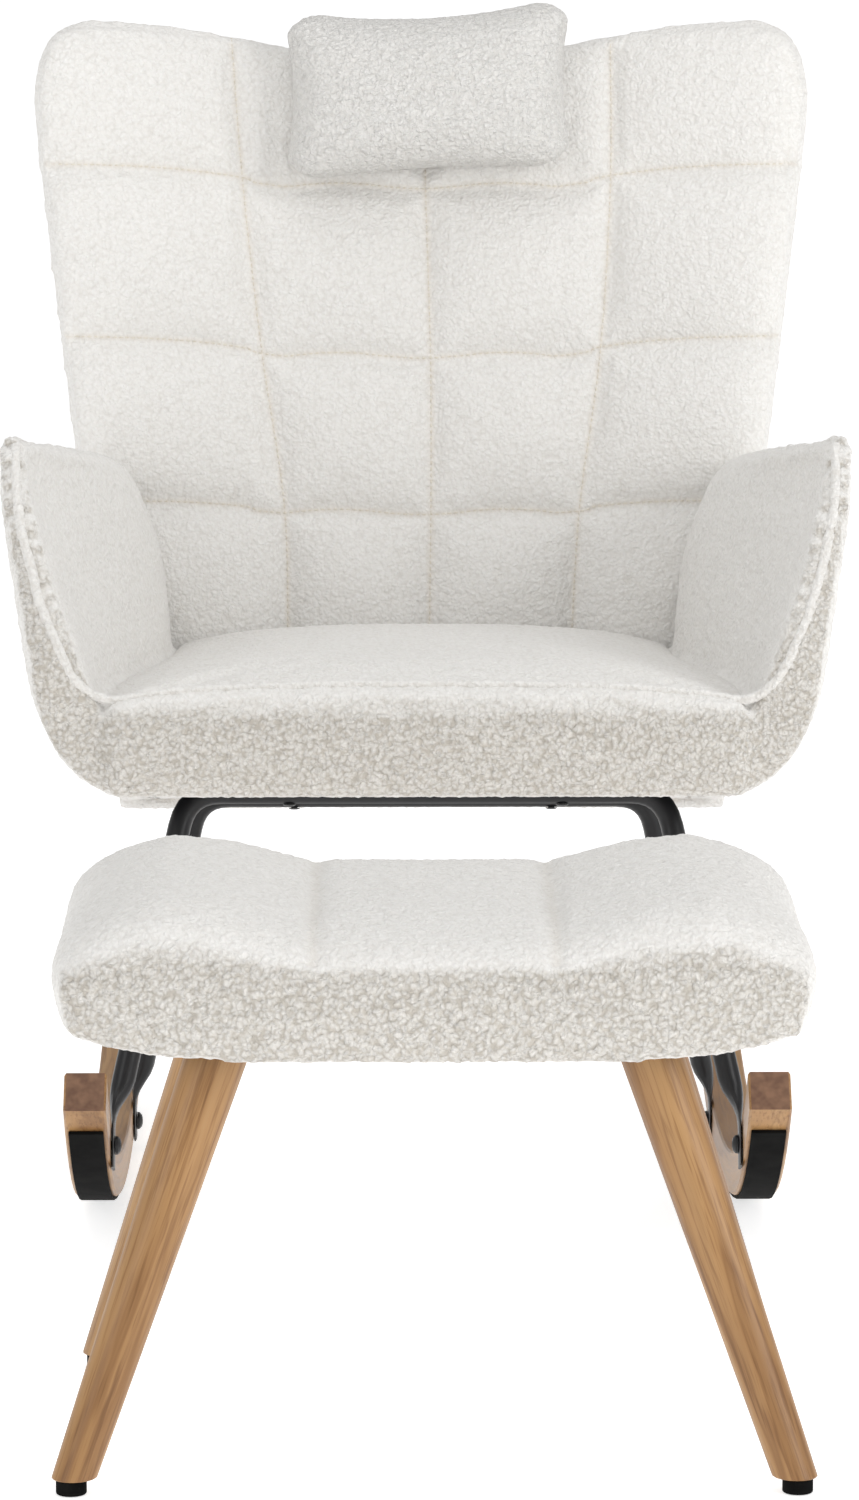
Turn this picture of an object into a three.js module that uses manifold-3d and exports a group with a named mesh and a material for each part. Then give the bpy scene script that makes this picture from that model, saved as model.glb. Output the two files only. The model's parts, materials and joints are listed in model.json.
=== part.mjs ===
// A wing-back rocking chair with a matching footstool and a head pillow. Millimetres, +Z up.
// +Y runs from the footstool to the chair's back, and the chair faces -Y. The set is symmetric about X = 0.
// Y = 0 lies just in front of where the rockers touch the floor, until the last lines centre the set.
import * as THREE from "three";
import { mergeVertices } from "three/addons/utils/BufferGeometryUtils.js";
import Module from "manifold-3d";

const wasm = await Module();
wasm.setup();

const { clamp, degToRad, lerp, smoothstep } = THREE.MathUtils;
const GAP = 0.3; // between pieces that touch
const SMALL_ROUND = 12; // sides of a small round piece or hole

// ---- Driving dimensions

// Rockers: one long central arc about the rocking axis, with tighter arcs out to the raised tips.
const ROCKER = {
  axisY: 66,
  radius: 1100,
  tipRadius: 445,
  arcEnd: degToRad(13),
  frontSlope: degToRad(45.5),
  rearSlope: degToRad(33),
  innerX: 256,
  width: 34,
  height: 36,
  bevel: 1.6,
};
const STRIP = { thickness: 3, width: 28, frontSlope: degToRad(41.5), rearSlope: degToRad(30) };

// Leg frames: two bent steel tubes, each with a crossbar under the seat and flattened ends on the rockers.
const TUBE_RADIUS = 9.5;
const PLATE = { thickness: 3, width: 25, beyondBolt: 19 };
const FRONT_BAR = { y: -200, z: 375.5 };
const REAR_BAR = { y: 100, z: 321.5 };
const FRONT_FOOT = { y: -304, z: 103 };
const REAR_FOOT = { y: 140, z: 24 };
const TUBE_BEND = 36;
const LEG_LINE = {
  kneeX: 196, bendShare: 0.78, flatten: 54, fullyFlat: 16, plateOverlap: 1.5, besideBolt: 8,
  toFloor: 9,
};
const ROCKER_BOLT = { radius: 3.9, length: 30, headRadius: 8, headHeight: 4.6 };
const SEAT_BOLT = { radius: 2.9, length: 38, headRadius: 5.2, headHeight: 1.6 };
// Lengths and places of the cutters for bolt holes.
const DRILL = { rocker: 60, rockerInset: 2, plate: 20, plateX: 254, bar: 60, board: 70 };

// Seat: a wooden ring that stands on both crossbars, and so slopes down to the back.
const SEAT_TILT = Math.atan2(FRONT_BAR.z - REAR_BAR.z, REAR_BAR.y - FRONT_BAR.y);
const SEAT_FRAME = {
  halfWidth: 248, front: -80, rear: 318, sideRail: 58, frontRail: 112, rearRail: 54,
  height: 24, cut: 80,
};
const SEAT_LEVEL = TUBE_RADIUS + GAP; // underside of the dust cover, above the crossbars' axes
const DUST_COVER = 1;
const SPRING = {
  count: 4, wireRadius: 1.8, swing: 22, turns: 7, stepsPerTurn: 4, rise: 6, spacing: 84,
  onRail: 16, sides: 5,
};
const SEAT_BOLT_X = 112;

// Upholstery
const SEAT = {
  front: -279, frontHeight: 476, rearHeight: 456, crown: 13, sideDrop: 12, rearDrop: 5,
  underside: 50,
};
// Where the seat cushion meets the backrest.
const SEAT_REAR = { halfWidth: 215, topZ: 450, lowZ: 360, clearance: 6 };
const SEAT_WIDTH_Z = { top: 474, low: 430 }; // the heights at which its width is taken from the arms
const FRONT_COVER = { front: -303, rear: -283, bulge: 9, bottom: 392, halfWidth: 251 };
const ARM = {
  front: -303, sweep: 96, sweepFrom: 480, sweepRise: 190, top: 668, topFall: 0.165, foot: 2,
  rearY: 150, lowest: 384,
};
const ARM_DEPTH = { from: -230, length: 400 };
const ARM_INNER = {
  flareX: 268, flareZ: 465, flare: 0.37, bendZ: 610, above: 0.2, least: 262, rearX: 222,
  rearZ: 470, rear: 0.12,
};
const ARM_OUTER = { frontX: 314, front: 0.18, rearX: 289, rear: 0.1 };
const ARM_ROUNDING = {
  front: 44, rear: 100, intoFront: 0.15, intoRear: 0.78, whole: 0.9, hem: 54, hemHeight: 80,
};
const ARM_LAP = { above: 62, run: 20, x: 254 }; // where the arm's foot laps under the seat cushion
const ARM_CLEARANCE = 7; // from the arm's rear end to the backrest, and from the seat cushion to the arm
const ARM_PANEL = {
  inset: 45, rear: 88, thickness: 9, below: 62, above: 42, depth: 0.42, slot: 120,
  frontFrom: 460, flatBelow: 470,
};
const BACK = {
  footY: 170, footZ: 456, recline: degToRad(15.8), bottom: 318, top: 995, dip: 35, dipFrom: 30,
  dipTo: 290,
};
const BACK_SIDE = { halfWidth: 286, widening: 0.126, cornerFrom: 912, corner: 50 };
const WING = { depth: 56, from: 0.38, least: 0.1, low: 330, full: 860, widest: 900 };
const BACK_ROUNDING = {
  front: 22, frontSide: 0.14, frontTop: 0.12, rear: 8, rearSide: 0.12, rearTop: 0.08,
};
// The back cushion's rim, which wraps round the frame.
const BACK_WRAP = { side: 0.09, top: 0.06, from: 0.12, to: 0.5, short: 2 };
const POST = [0.7, 0.86]; // from the middle, as shares of the half width
const POST_RUN = [0.03, 0.9];
const RAILS = { bottom: [0.03, 0.12], middle: [0.47, 0.53], top: [0.83, 0.9] };
const RAIL_CLEARANCE = 0.008;
const WEBBING = { levels: [0.27, 0.5, 0.72], reach: 0.84, half: 0.035, thickness: 1.6 };
const LAYER = { cushionRear: 54, webbing: 57, frame: 61, frameThickness: 20, cover: 86, coverRear: 98 };
const PILLOW = {
  halfWidth: 126, bottom: 851, top: 1001, thickness: 74, rim: 24, standOff: 8, sidePull: 0.05,
  endPull: 0.12,
};
const PATCH = { halfWidth: 26, bottom: 880, top: 940, front: 7.2, rear: 5.8 };
const STRAP = {
  width: 60, thickness: 2, clear: 2.6, frontHeights: [872, 905, 927],
  rearHeights: [915, 860, 800],
};
// The strap's way over the top edge, as Y and Z.
const STRAP_OVER = [[306, 943], [317, 956], [336, 961], [366, 954], [396, 946], [409, 933]];

// Footstool
const STOOL = {
  front: -974, rear: -590, halfWidth: 273, underside: 316, top: 401, edgeDrop: 34,
  pocketFrom: 300,
};
const STOOL_PULL = { side: 0.035, end: 0.05, hem: 0.03 }; // how far its corners round off, as shares
const STOOL_SADDLE = { height: 21.5, x: 185, width: 62 };
const STOOL_HEM = { turnUp: 20, from: 150, droop: 4, levelFrom: 0.86, levelTo: 0.97 };
const STOOL_BOARD = { halfWidth: 196, inset: 34, thickness: 13, clearance: 1 };
const STOOL_LEG = {
  footX: 259, rearFootX: 253, footY: 174, topX: 150, topY: 112, footRadius: 15.5,
  topRadius: 22.5, sides: 18,
};
const GLIDE = { radius: 11, height: 11, sides: 20 };
const STUD = { radius: 3.9, intoLeg: 32, intoBoard: 11 };
const PLATE_SIZE = { half: 36, thickness: 2.6 };

const COLOUR = {
  teddy: 0xeeebe3, oak: 0xc89a66, plywood: 0xcdb189, steel: 0x17171a, rubber: 0x101010,
  cloth: 0x1b1b1d,
};
const FINISH = {
  teddy: { color: COLOUR.teddy, roughness: 0.95, metalness: 0 },
  oak: { color: COLOUR.oak, roughness: 0.45, metalness: 0 },
  plywood: { color: COLOUR.plywood, roughness: 0.7, metalness: 0 },
  steel: { color: COLOUR.steel, roughness: 0.4, metalness: 0.6 },
  rubber: { color: COLOUR.rubber, roughness: 0.85, metalness: 0 },
  cloth: { color: COLOUR.cloth, roughness: 0.95, metalness: 0 },
};

// ---- Making closed solids

const set = new THREE.Group();

function place(name, finish, geometry, parent = set) {
  const mesh = new THREE.Mesh(geometry, new THREE.MeshStandardMaterial(FINISH[finish]));
  mesh.name = name;
  parent.add(mesh);
  return mesh;
}

function enclosedVolume(points, triangles) {
  const [a, b, c] = [new THREE.Vector3(), new THREE.Vector3(), new THREE.Vector3()];
  let volume = 0;
  for (const [i, j, k] of triangles)
    volume += a.fromArray(points[i]).dot(b.fromArray(points[j]).cross(c.fromArray(points[k]))) / 6;
  return volume;
}

// A closed skin over points and triangles, turned to face out.
function skin(points, triangles) {
  const facingOut = enclosedVolume(points, triangles) > 0;
  const geometry = new THREE.BufferGeometry();
  geometry.setAttribute("position", new THREE.Float32BufferAttribute(points.flat(), 3));
  geometry.setIndex(triangles.flatMap(([i, j, k]) => (facingOut ? [i, j, k] : [i, k, j])));
  geometry.computeVertexNormals();
  return geometry;
}

// A closed pad between two faces. Each face gives a point for (u, v), and both run from 0 to 1.
function pad(faces, columns, rows) {
  const points = faces.flatMap((face) =>
    Array.from({ length: (rows + 1) * (columns + 1) }, (_, i) =>
      face((i % (columns + 1)) / columns, Math.floor(i / (columns + 1)) / rows),
    ),
  );
  const at = (side, column, row) => (side * (rows + 1) + row) * (columns + 1) + column;
  const triangles = [];
  const quad = (a, b, c, d) => triangles.push([a, b, c], [a, c, d]);
  for (let r = 0; r < rows; r++)
    for (let c = 0; c < columns; c++) {
      quad(at(0, c, r), at(0, c + 1, r), at(0, c + 1, r + 1), at(0, c, r + 1));
      quad(at(1, c, r), at(1, c, r + 1), at(1, c + 1, r + 1), at(1, c + 1, r));
    }
  for (let c = 0; c < columns; c++) {
    quad(at(0, c + 1, 0), at(0, c, 0), at(1, c, 0), at(1, c + 1, 0));
    quad(at(0, c, rows), at(0, c + 1, rows), at(1, c + 1, rows), at(1, c, rows));
  }
  for (let r = 0; r < rows; r++) {
    quad(at(0, 0, r), at(0, 0, r + 1), at(1, 0, r + 1), at(1, 0, r));
    quad(at(0, columns, r + 1), at(0, columns, r), at(1, columns, r), at(1, columns, r + 1));
  }
  return skin(points, triangles);
}

// A closed skin through rings of equal length, with a fan over each end.
function loft(rings) {
  const sides = rings[0].length;
  const points = rings.flat();
  const triangles = [];
  for (let r = 0; r + 1 < rings.length; r++)
    for (let i = 0; i < sides; i++) {
      const a = r * sides + i;
      const b = r * sides + ((i + 1) % sides);
      triangles.push([a, b, b + sides], [a, b + sides, a + sides]);
    }
  for (const [ring, base, turn] of [[rings[0], 0, 1], [rings.at(-1), (rings.length - 1) * sides, 0]]) {
    const hub = points.push([0, 1, 2].map((k) => ring.reduce((sum, p) => sum + p[k], 0) / sides)) - 1;
    for (let i = 0; i < sides; i++) {
      const [a, b] = [base + i, base + ((i + 1) % sides)];
      triangles.push(turn ? [hub, b, a] : [hub, a, b]);
    }
  }
  return skin(points, triangles);
}

// An elliptical ring about a point, from two perpendicular half-axes.
function ring(centre, first, second, sides) {
  return Array.from({ length: sides }, (_, i) => {
    const angle = (2 * Math.PI * i) / sides;
    const point = centre.clone().addScaledVector(first, Math.cos(angle));
    return point.addScaledVector(second, Math.sin(angle)).toArray();
  });
}

function solidOf(geometry) {
  const bare = new THREE.BufferGeometry().setAttribute("position", geometry.getAttribute("position"));
  if (geometry.index) bare.setIndex(geometry.index);
  const merged = mergeVertices(bare, 1e-3);
  const triVerts = new Uint32Array(merged.index.array);
  const vertProperties = merged.attributes.position.array;
  return new wasm.Manifold(new wasm.Mesh({ numProp: 3, vertProperties, triVerts }));
}

// What is left of a geometry after the cutters are taken away from it.
function cut(geometry, ...cutters) {
  const left = cutters.reduce((solid, cutter) => solid.subtract(solidOf(cutter)), solidOf(geometry));
  const { vertProperties, triVerts } = left.getMesh();
  const result = new THREE.BufferGeometry();
  result.setAttribute("position", new THREE.BufferAttribute(vertProperties, 3));
  result.setIndex(new THREE.BufferAttribute(triVerts, 1));
  result.computeVertexNormals();
  return result;
}

function box(x0, x1, y0, y1, z0, z1) {
  const geometry = new THREE.BoxGeometry(x1 - x0, y1 - y0, z1 - z0);
  return geometry.translate((x0 + x1) / 2, (y0 + y1) / 2, (z0 + z1) / 2);
}

// A cylinder, or a drill for one, centred on a point and pointing along a direction.
function rod(radius, length, centre, direction, sides = 16) {
  const upright = new THREE.Vector3(0, 1, 0);
  const turn = new THREE.Quaternion().setFromUnitVectors(upright, direction.clone().normalize());
  const geometry = new THREE.CylinderGeometry(radius, radius, length, sides);
  return geometry.applyQuaternion(turn).translate(centre.x, centre.y, centre.z);
}

// A button-head bolt with a socket. The underside of its head is at seat, and it points along direction.
function buttonBolt({ radius, length, headRadius, headHeight }, seat, direction) {
  const socket = headRadius * 0.36;
  const profile = [
    [0, -length],
    [radius, -length],
    [radius, 0],
    [headRadius, 0],
    [headRadius * 0.94, headHeight * 0.45],
    [headRadius * 0.66, headHeight * 0.86],
    [socket, headHeight],
    [socket, headHeight * 0.4],
    [0, headHeight * 0.4],
  ].map(([r, y]) => new THREE.Vector2(r, y));
  const down = direction.clone().normalize().negate();
  const turn = new THREE.Quaternion().setFromUnitVectors(new THREE.Vector3(0, 1, 0), down);
  const geometry = new THREE.LatheGeometry(profile, SMALL_ROUND).applyQuaternion(turn);
  return geometry.translate(seat.x, seat.y, seat.z);
}

const SIDES = [["left", -1], ["right", 1]];
const eased = (t) => 0.5 - 0.5 * Math.cos(Math.PI * t); // closer together at both ends
const roundOff = (t) => 1 - Math.sqrt(1 - clamp(t, 0, 1) ** 2); // a quarter circle's fall, from 0 to 1

// ---- Rockers

// A point of the rocker's curve, by its slope, a given height inside the outline that rolls on the floor.
function rockerPoint(slope, inset) {
  const size = Math.abs(slope);
  const side = -Math.sign(slope);
  if (size <= ROCKER.arcEnd) {
    const radius = ROCKER.radius - inset;
    const y = ROCKER.axisY + side * radius * Math.sin(size);
    return new THREE.Vector2(y, ROCKER.radius - radius * Math.cos(size));
  }
  const shift = ROCKER.radius - ROCKER.tipRadius;
  const radius = ROCKER.tipRadius - inset;
  return new THREE.Vector2(
    ROCKER.axisY + side * (shift * Math.sin(ROCKER.arcEnd) + radius * Math.sin(size)),
    ROCKER.radius - shift * Math.cos(ROCKER.arcEnd) - radius * Math.cos(size),
  );
}

function rockerSlopes(front, rear) {
  const end = ROCKER.arcEnd;
  const stretch = (from, to, steps) => Array.from({ length: steps }, (_, i) => lerp(from, to, i / steps));
  return [...stretch(front, end, 7), ...stretch(end, -end, 10), ...stretch(-end, -rear, 5), -rear];
}

// A bar that follows the rocker's curve between two depths inside the outline, as wide as stated along X.
function curvedBar(front, rear, from, to, width, bevel) {
  const slopes = rockerSlopes(front, rear);
  const outline = [
    ...slopes.map((slope) => rockerPoint(slope, from)),
    ...slopes.toReversed().map((slope) => rockerPoint(slope, to)),
  ];
  const geometry = new THREE.ExtrudeGeometry(new THREE.Shape(outline), {
    depth: width - 2 * bevel,
    bevelEnabled: bevel > 0,
    bevelThickness: bevel,
    bevelSize: bevel,
    bevelOffset: -bevel,
    bevelSegments: 1,
  });
  geometry.translate(0, 0, bevel - width / 2);
  const axes = [new THREE.Vector3(0, 1, 0), new THREE.Vector3(0, 0, 1), new THREE.Vector3(1, 0, 0)];
  return geometry.applyMatrix4(new THREE.Matrix4().makeBasis(...axes));
}

const rockerX = ROCKER.innerX + ROCKER.width / 2;
const feet = [["front", FRONT_FOOT], ["rear", REAR_FOOT]];

for (const [side, sign] of SIDES) {
  const inset = STRIP.thickness + GAP;
  const { frontSlope, rearSlope, height, width, bevel } = ROCKER;
  const wood = curvedBar(frontSlope, rearSlope, inset, inset + height, width, bevel);
  wood.translate(sign * rockerX, 0, 0);
  const along = new THREE.Vector3(sign, 0, 0);
  const drills = feet.map(([, foot]) =>
    rod(
      ROCKER_BOLT.radius + GAP,
      DRILL.rocker,
      new THREE.Vector3(sign * (ROCKER.innerX - DRILL.rockerInset), foot.y, foot.z),
      along,
    ),
  );
  place(`rocker_${side}`, "oak", cut(wood, ...drills));
  const strip = curvedBar(STRIP.frontSlope, STRIP.rearSlope, 0, STRIP.thickness, STRIP.width, 0);
  place(`rocker_strip_${side}`, "rubber", strip.translate(sign * rockerX, 0, 0));
  for (const [end, foot] of feet) {
    const seat = new THREE.Vector3(sign * (ROCKER.innerX - 2 * GAP - PLATE.thickness), foot.y, foot.z);
    place(`rocker_bolt_${end}_${side}`, "steel", buttonBolt(ROCKER_BOLT, seat, along));
  }
}

// ---- Leg frames

// Half of a leg frame's centre line in its own plane: x outwards, s from the crossbar towards the foot.
function legLine(bar, foot) {
  const footX = ROCKER.innerX - GAP - PLATE.thickness / 2;
  const reach = Math.hypot(foot.y - bar.y, foot.z - bar.z);
  const { kneeX } = LEG_LINE; // where the leg's straight line would meet the crossbar
  const flatFrom = reach - LEG_LINE.flatten;
  const slope = (footX - TUBE_RADIUS + LEG_LINE.plateOverlap - kneeX) / flatFrom;
  const run = TUBE_BEND * LEG_LINE.bendShare;
  const start = new THREE.Vector2(kneeX - run, 0);
  const end = new THREE.Vector2(kneeX + slope * run, run);
  const bend = new THREE.QuadraticBezierCurve(start, new THREE.Vector2(kneeX, 0), end);
  const bent = bend.getPoints(6).map((p) => ({ x: p.x, s: p.y }));
  const line = [{ x: SEAT_BOLT_X - LEG_LINE.besideBolt, s: 0 }, ...bent];
  const STEPS = 5;
  for (let i = 0; i <= STEPS; i++) {
    const s = lerp(flatFrom, reach - LEG_LINE.fullyFlat, i / STEPS);
    const x = Math.min(kneeX + slope * s, footX);
    line.push({ x: lerp(x, footX, smoothstep(i / STEPS, 0, 1)), s, flat: smoothstep(i / STEPS, 0, 1) });
  }
  line.push({ x: footX, s: reach + Math.min(PLATE.beyondBolt, foot.z - LEG_LINE.toFloor), flat: 1 });
  return line;
}

function legFrame(bar, foot) {
  const half = legLine(bar, foot);
  const line = [...half.toReversed().map((p) => ({ ...p, x: -p.x })), { x: 0, s: 0 }, ...half];
  const down = new THREE.Vector3(0, foot.y - bar.y, foot.z - bar.z).normalize();
  const across = new THREE.Vector3(1, 0, 0).cross(down);
  const at = ({ x, s }) => new THREE.Vector3(x, bar.y, bar.z).addScaledVector(down, s);
  const rings = line.map((point, i) => {
    const tangent = at(line[Math.min(i + 1, line.length - 1)]).sub(at(line[Math.max(i - 1, 0)])).normalize();
    const thick = across.clone().cross(tangent);
    const flat = point.flat ?? 0;
    return ring(
      at(point),
      thick.multiplyScalar(lerp(TUBE_RADIUS, PLATE.thickness / 2, flat)),
      across.clone().multiplyScalar(lerp(TUBE_RADIUS, PLATE.width / 2, flat)),
      SMALL_ROUND,
    );
  });
  const drills = SIDES.flatMap(([, sign]) => [
    rod(
      ROCKER_BOLT.radius + GAP,
      DRILL.plate,
      new THREE.Vector3(sign * DRILL.plateX, foot.y, foot.z),
      new THREE.Vector3(1, 0, 0),
    ),
    rod(
      SEAT_BOLT.radius + GAP,
      DRILL.bar,
      new THREE.Vector3(sign * SEAT_BOLT_X, bar.y, bar.z),
      seatUp,
      SMALL_ROUND,
    ),
  ]);
  return cut(loft(rings), ...drills);
}

const seatUp = new THREE.Vector3(0, Math.sin(SEAT_TILT), Math.cos(SEAT_TILT));
place("front_leg_frame", "steel", legFrame(FRONT_BAR, FRONT_FOOT));
place("rear_leg_frame", "steel", legFrame(REAR_BAR, REAR_FOOT));
for (const [side, sign] of SIDES)
  for (const [end, bar] of [["front", FRONT_BAR], ["rear", REAR_BAR]]) {
    const seat = new THREE.Vector3(sign * SEAT_BOLT_X, bar.y, bar.z);
    seat.addScaledVector(seatUp, -TUBE_RADIUS - GAP);
    place(`seat_bolt_${end}_${side}`, "steel", buttonBolt(SEAT_BOLT, seat, seatUp));
  }

// ---- Seat base, in a group that lies along the crossbars

const seatGroup = new THREE.Group();
seatGroup.position.set(0, FRONT_BAR.y, FRONT_BAR.z);
seatGroup.rotation.x = -SEAT_TILT;
set.add(seatGroup);

const barSpan = Math.hypot(REAR_BAR.y - FRONT_BAR.y, REAR_BAR.z - FRONT_BAR.z);
const frameBottom = SEAT_LEVEL + DUST_COVER + GAP;
const frameTop = frameBottom + SEAT_FRAME.height;
const seatDrills = SIDES.flatMap(([, sign]) =>
  [0, barSpan].map((y) =>
    rod(
      SEAT_BOLT.radius + GAP,
      DRILL.board,
      new THREE.Vector3(sign * SEAT_BOLT_X, y, 0),
      new THREE.Vector3(0, 0, 1),
      SMALL_ROUND,
    ),
  ),
);
{
  const { halfWidth, front, rear, sideRail, frontRail, rearRail } = SEAT_FRAME;
  const ringHalf = halfWidth - sideRail;
  const ringCut = box(-ringHalf, ringHalf, front + frontRail, rear - rearRail, 0, SEAT_FRAME.cut);
  const board = box(-halfWidth, halfWidth, front, rear, frameBottom, frameTop);
  place("seat_frame", "plywood", cut(board, ringCut, ...seatDrills), seatGroup);
  const cloth = box(-halfWidth, halfWidth, front, rear, SEAT_LEVEL, SEAT_LEVEL + DUST_COVER);
  place("seat_dust_cover", "cloth", cut(cloth, ...seatDrills), seatGroup);
}

// A sinuous wire spring across the ring's opening, from the front rail to the rear rail.
function seatSpring(x) {
  const from = SEAT_FRAME.front + SEAT_FRAME.frontRail - SPRING.onRail;
  const to = SEAT_FRAME.rear - SEAT_FRAME.rearRail + SPRING.onRail;
  const steps = SPRING.turns * SPRING.stepsPerTurn;
  const points = Array.from({ length: steps + 1 }, (_, i) => {
    const t = i / steps;
    const swing = SPRING.swing * Math.sin(2 * Math.PI * SPRING.turns * t);
    const level = frameTop + SPRING.wireRadius + GAP + SPRING.rise * Math.sin(Math.PI * t);
    return new THREE.Vector3(x + swing, lerp(from, to, t), level);
  });
  const up = new THREE.Vector3(0, 0, 1);
  const rings = points.map((point, i) => {
    const tangent = points[Math.min(i + 1, steps)].clone().sub(points[Math.max(i - 1, 0)]).normalize();
    const across = up.clone().cross(tangent).normalize();
    const lift = tangent.clone().cross(across);
    const { wireRadius, sides } = SPRING;
    return ring(point, across.multiplyScalar(wireRadius), lift.multiplyScalar(wireRadius), sides);
  });
  return loft(rings);
}
for (let i = 0; i < SPRING.count; i++) {
  const x = (i - (SPRING.count - 1) / 2) * SPRING.spacing;
  place(`seat_spring_${i + 1}`, "steel", seatSpring(x), seatGroup);
}

// Height of the seat's plane at a depth, a given distance above the crossbars' axes.
function seatPlane(y, above) {
  return FRONT_BAR.z + (FRONT_BAR.y - y) * Math.tan(SEAT_TILT) + above / Math.cos(SEAT_TILT);
}

// ---- Backrest: every layer is a depth behind one curved face

function backHalfWidth(z) {
  const side = BACK_SIDE.halfWidth + (z - BACK.footZ) * BACK_SIDE.widening;
  return side - BACK_SIDE.corner * roundOff((z - BACK_SIDE.cornerFrom) / (BACK.top - BACK_SIDE.cornerFrom));
}

function backFaceY(x, z) {
  const across = Math.abs(x) / backHalfWidth(Math.min(z, WING.widest));
  const grown = lerp(WING.least, 1, smoothstep(z, WING.low, WING.full));
  const wing = WING.depth * smoothstep(across, WING.from, 1) * grown;
  return BACK.footY + (z - BACK.footZ) * Math.tan(BACK.recline) - wing;
}

// A point of the backrest: a from -1 to 1 across, v from 0 at the bottom to 1 at the top edge.
function backPoint(a, v, depth) {
  const level = lerp(BACK.bottom, BACK.top, v);
  const x = a * backHalfWidth(level);
  const dip = BACK.dip * (1 - smoothstep(Math.abs(x), BACK.dipFrom, BACK.dipTo)) * v ** 4;
  const z = level - dip;
  return [x, backFaceY(x, z) + depth * Math.cos(BACK.recline), z - depth * Math.sin(BACK.recline)];
}

// How near the rim a place of the backrest is: 0 over the middle, 1 at the edge itself.
const rimness = (a, v, side, top) => Math.max(1 - (1 - Math.abs(a)) / side, 1 - (1 - v) / top, 0);

const acrossBack = (u) => Math.sin((u - 0.5) * Math.PI);
const upBack = (v) => 1 - (1 - v) ** 1.5;

place("back_cushion", "teddy", pad([
  (u, v) => {
    const rim = roundOff(rimness(acrossBack(u), upBack(v), BACK_ROUNDING.frontSide, BACK_ROUNDING.frontTop));
    return backPoint(acrossBack(u), upBack(v), BACK_ROUNDING.front * rim);
  },
  (u, v) => {
    const near = rimness(acrossBack(u), upBack(v), BACK_WRAP.side, BACK_WRAP.top);
    const wrap = smoothstep(near, BACK_WRAP.from, BACK_WRAP.to);
    return backPoint(acrossBack(u), upBack(v), lerp(LAYER.cushionRear, LAYER.cover - BACK_WRAP.short, wrap));
  },
], 16, 14));
place("back_cover", "teddy", pad([
  (u, v) => backPoint(acrossBack(u), upBack(v), LAYER.cover),
  (u, v) => {
    const rim = roundOff(rimness(acrossBack(u), upBack(v), BACK_ROUNDING.rearSide, BACK_ROUNDING.rearTop));
    return backPoint(acrossBack(u), upBack(v), LAYER.coverRear - BACK_ROUNDING.rear * rim);
  },
], 16, 12));

// A layer of the backrest between two limits across and up, at a depth.
function backLayer([a0, a1], [v0, v1], depth, thickness, columns, rows) {
  const face = (d) => (u, v) => backPoint(lerp(a0, a1, u), lerp(v0, v1, v), d);
  return pad([face(depth), face(depth + thickness)], columns, rows);
}

for (const [side, sign] of SIDES) {
  const limits = sign < 0 ? [-POST[1], -POST[0]] : POST;
  place(`back_post_${side}`, "plywood", backLayer(limits, POST_RUN, LAYER.frame, LAYER.frameThickness, 3, 8));
}
const railHalf = POST[0] - RAIL_CLEARANCE;
for (const [name, limits] of Object.entries(RAILS)) {
  const rail = backLayer([-railHalf, railHalf], limits, LAYER.frame, LAYER.frameThickness, 12, 1);
  place(`back_${name}_rail`, "plywood", rail);
}
WEBBING.levels.forEach((level, i) => {
  const { reach, half, thickness } = WEBBING;
  const strap = backLayer([-reach, reach], [level - half, level + half], LAYER.webbing, thickness, 16, 1);
  place(`back_webbing_${i + 1}`, "cloth", strap);
});

// ---- Arms

// 0 at the front of the seat, 1 at the backrest.
const armDepth = (y) => clamp((y - ARM_DEPTH.from) / ARM_DEPTH.length, 0, 1);
const armTop = (y) => ARM.top - (y - ARM.front - ARM.sweep) * ARM.topFall;
const armBottom = (y) => seatPlane(y, 0) - ARM.foot;
const armFront = (z) => ARM.front + ARM.sweep * clamp((z - ARM.sweepFrom) / ARM.sweepRise, 0, 1) ** 1.3;

// Both faces of an arm at a depth and height, as distances from the middle of the chair.
function armFaces(y, z) {
  const t = armDepth(y);
  const { flareX, flareZ, flare, bendZ, above, least, rearX, rearZ, rear } = ARM_INNER;
  const flared = flareX + (Math.min(z, bendZ) - flareZ) * flare + Math.max(z - bendZ, 0) * above;
  const atRear = rearX + Math.max(z - rearZ, 0) * rear;
  const inner = lerp(Math.max(flared, least), atRear, smoothstep(t, 0, 0.85));
  const rise = z - BACK.footZ;
  const outer = lerp(ARM_OUTER.frontX + rise * ARM_OUTER.front, ARM_OUTER.rearX + rise * ARM_OUTER.rear, t);
  const roundingHeight = lerp(ARM_ROUNDING.front, ARM_ROUNDING.rear, t);
  const shoulder = roundOff((z - (armTop(y) - roundingHeight)) / roundingHeight) * (outer - inner);
  const { hemHeight } = ARM_ROUNDING;
  const hem = roundOff((armBottom(y) + hemHeight - z) / hemHeight) * ARM_ROUNDING.hem;
  const intoTop = lerp(ARM_ROUNDING.intoFront, ARM_ROUNDING.intoRear, t);
  const lap = smoothstep(seatPlane(y, ARM_LAP.above) - z, 0, ARM_LAP.run);
  const base = lerp(inner, ARM_LAP.x, lap);
  return { inner: base + shoulder * intoTop, outer: outer - hem - shoulder * (ARM_ROUNDING.whole - intoTop) };
}

// A point of an arm: u from the front to the backrest, v from the bottom to the top.
function armPoint(sign, face, u, v) {
  const rise = eased(v);
  const front = armFront(lerp(ARM.lowest, ARM.top, rise));
  const rearZ = lerp(armBottom(ARM.rearY), armTop(ARM.rearY), rise);
  const rear = backFaceY(armFaces(ARM.rearY, rearZ)[face], rearZ) - ARM_CLEARANCE;
  const y = lerp(front, rear, eased(u) * 0.6 + u * 0.4);
  const z = lerp(armBottom(y), armTop(y), rise);
  return [sign * armFaces(y, z)[face], y, z];
}

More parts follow.
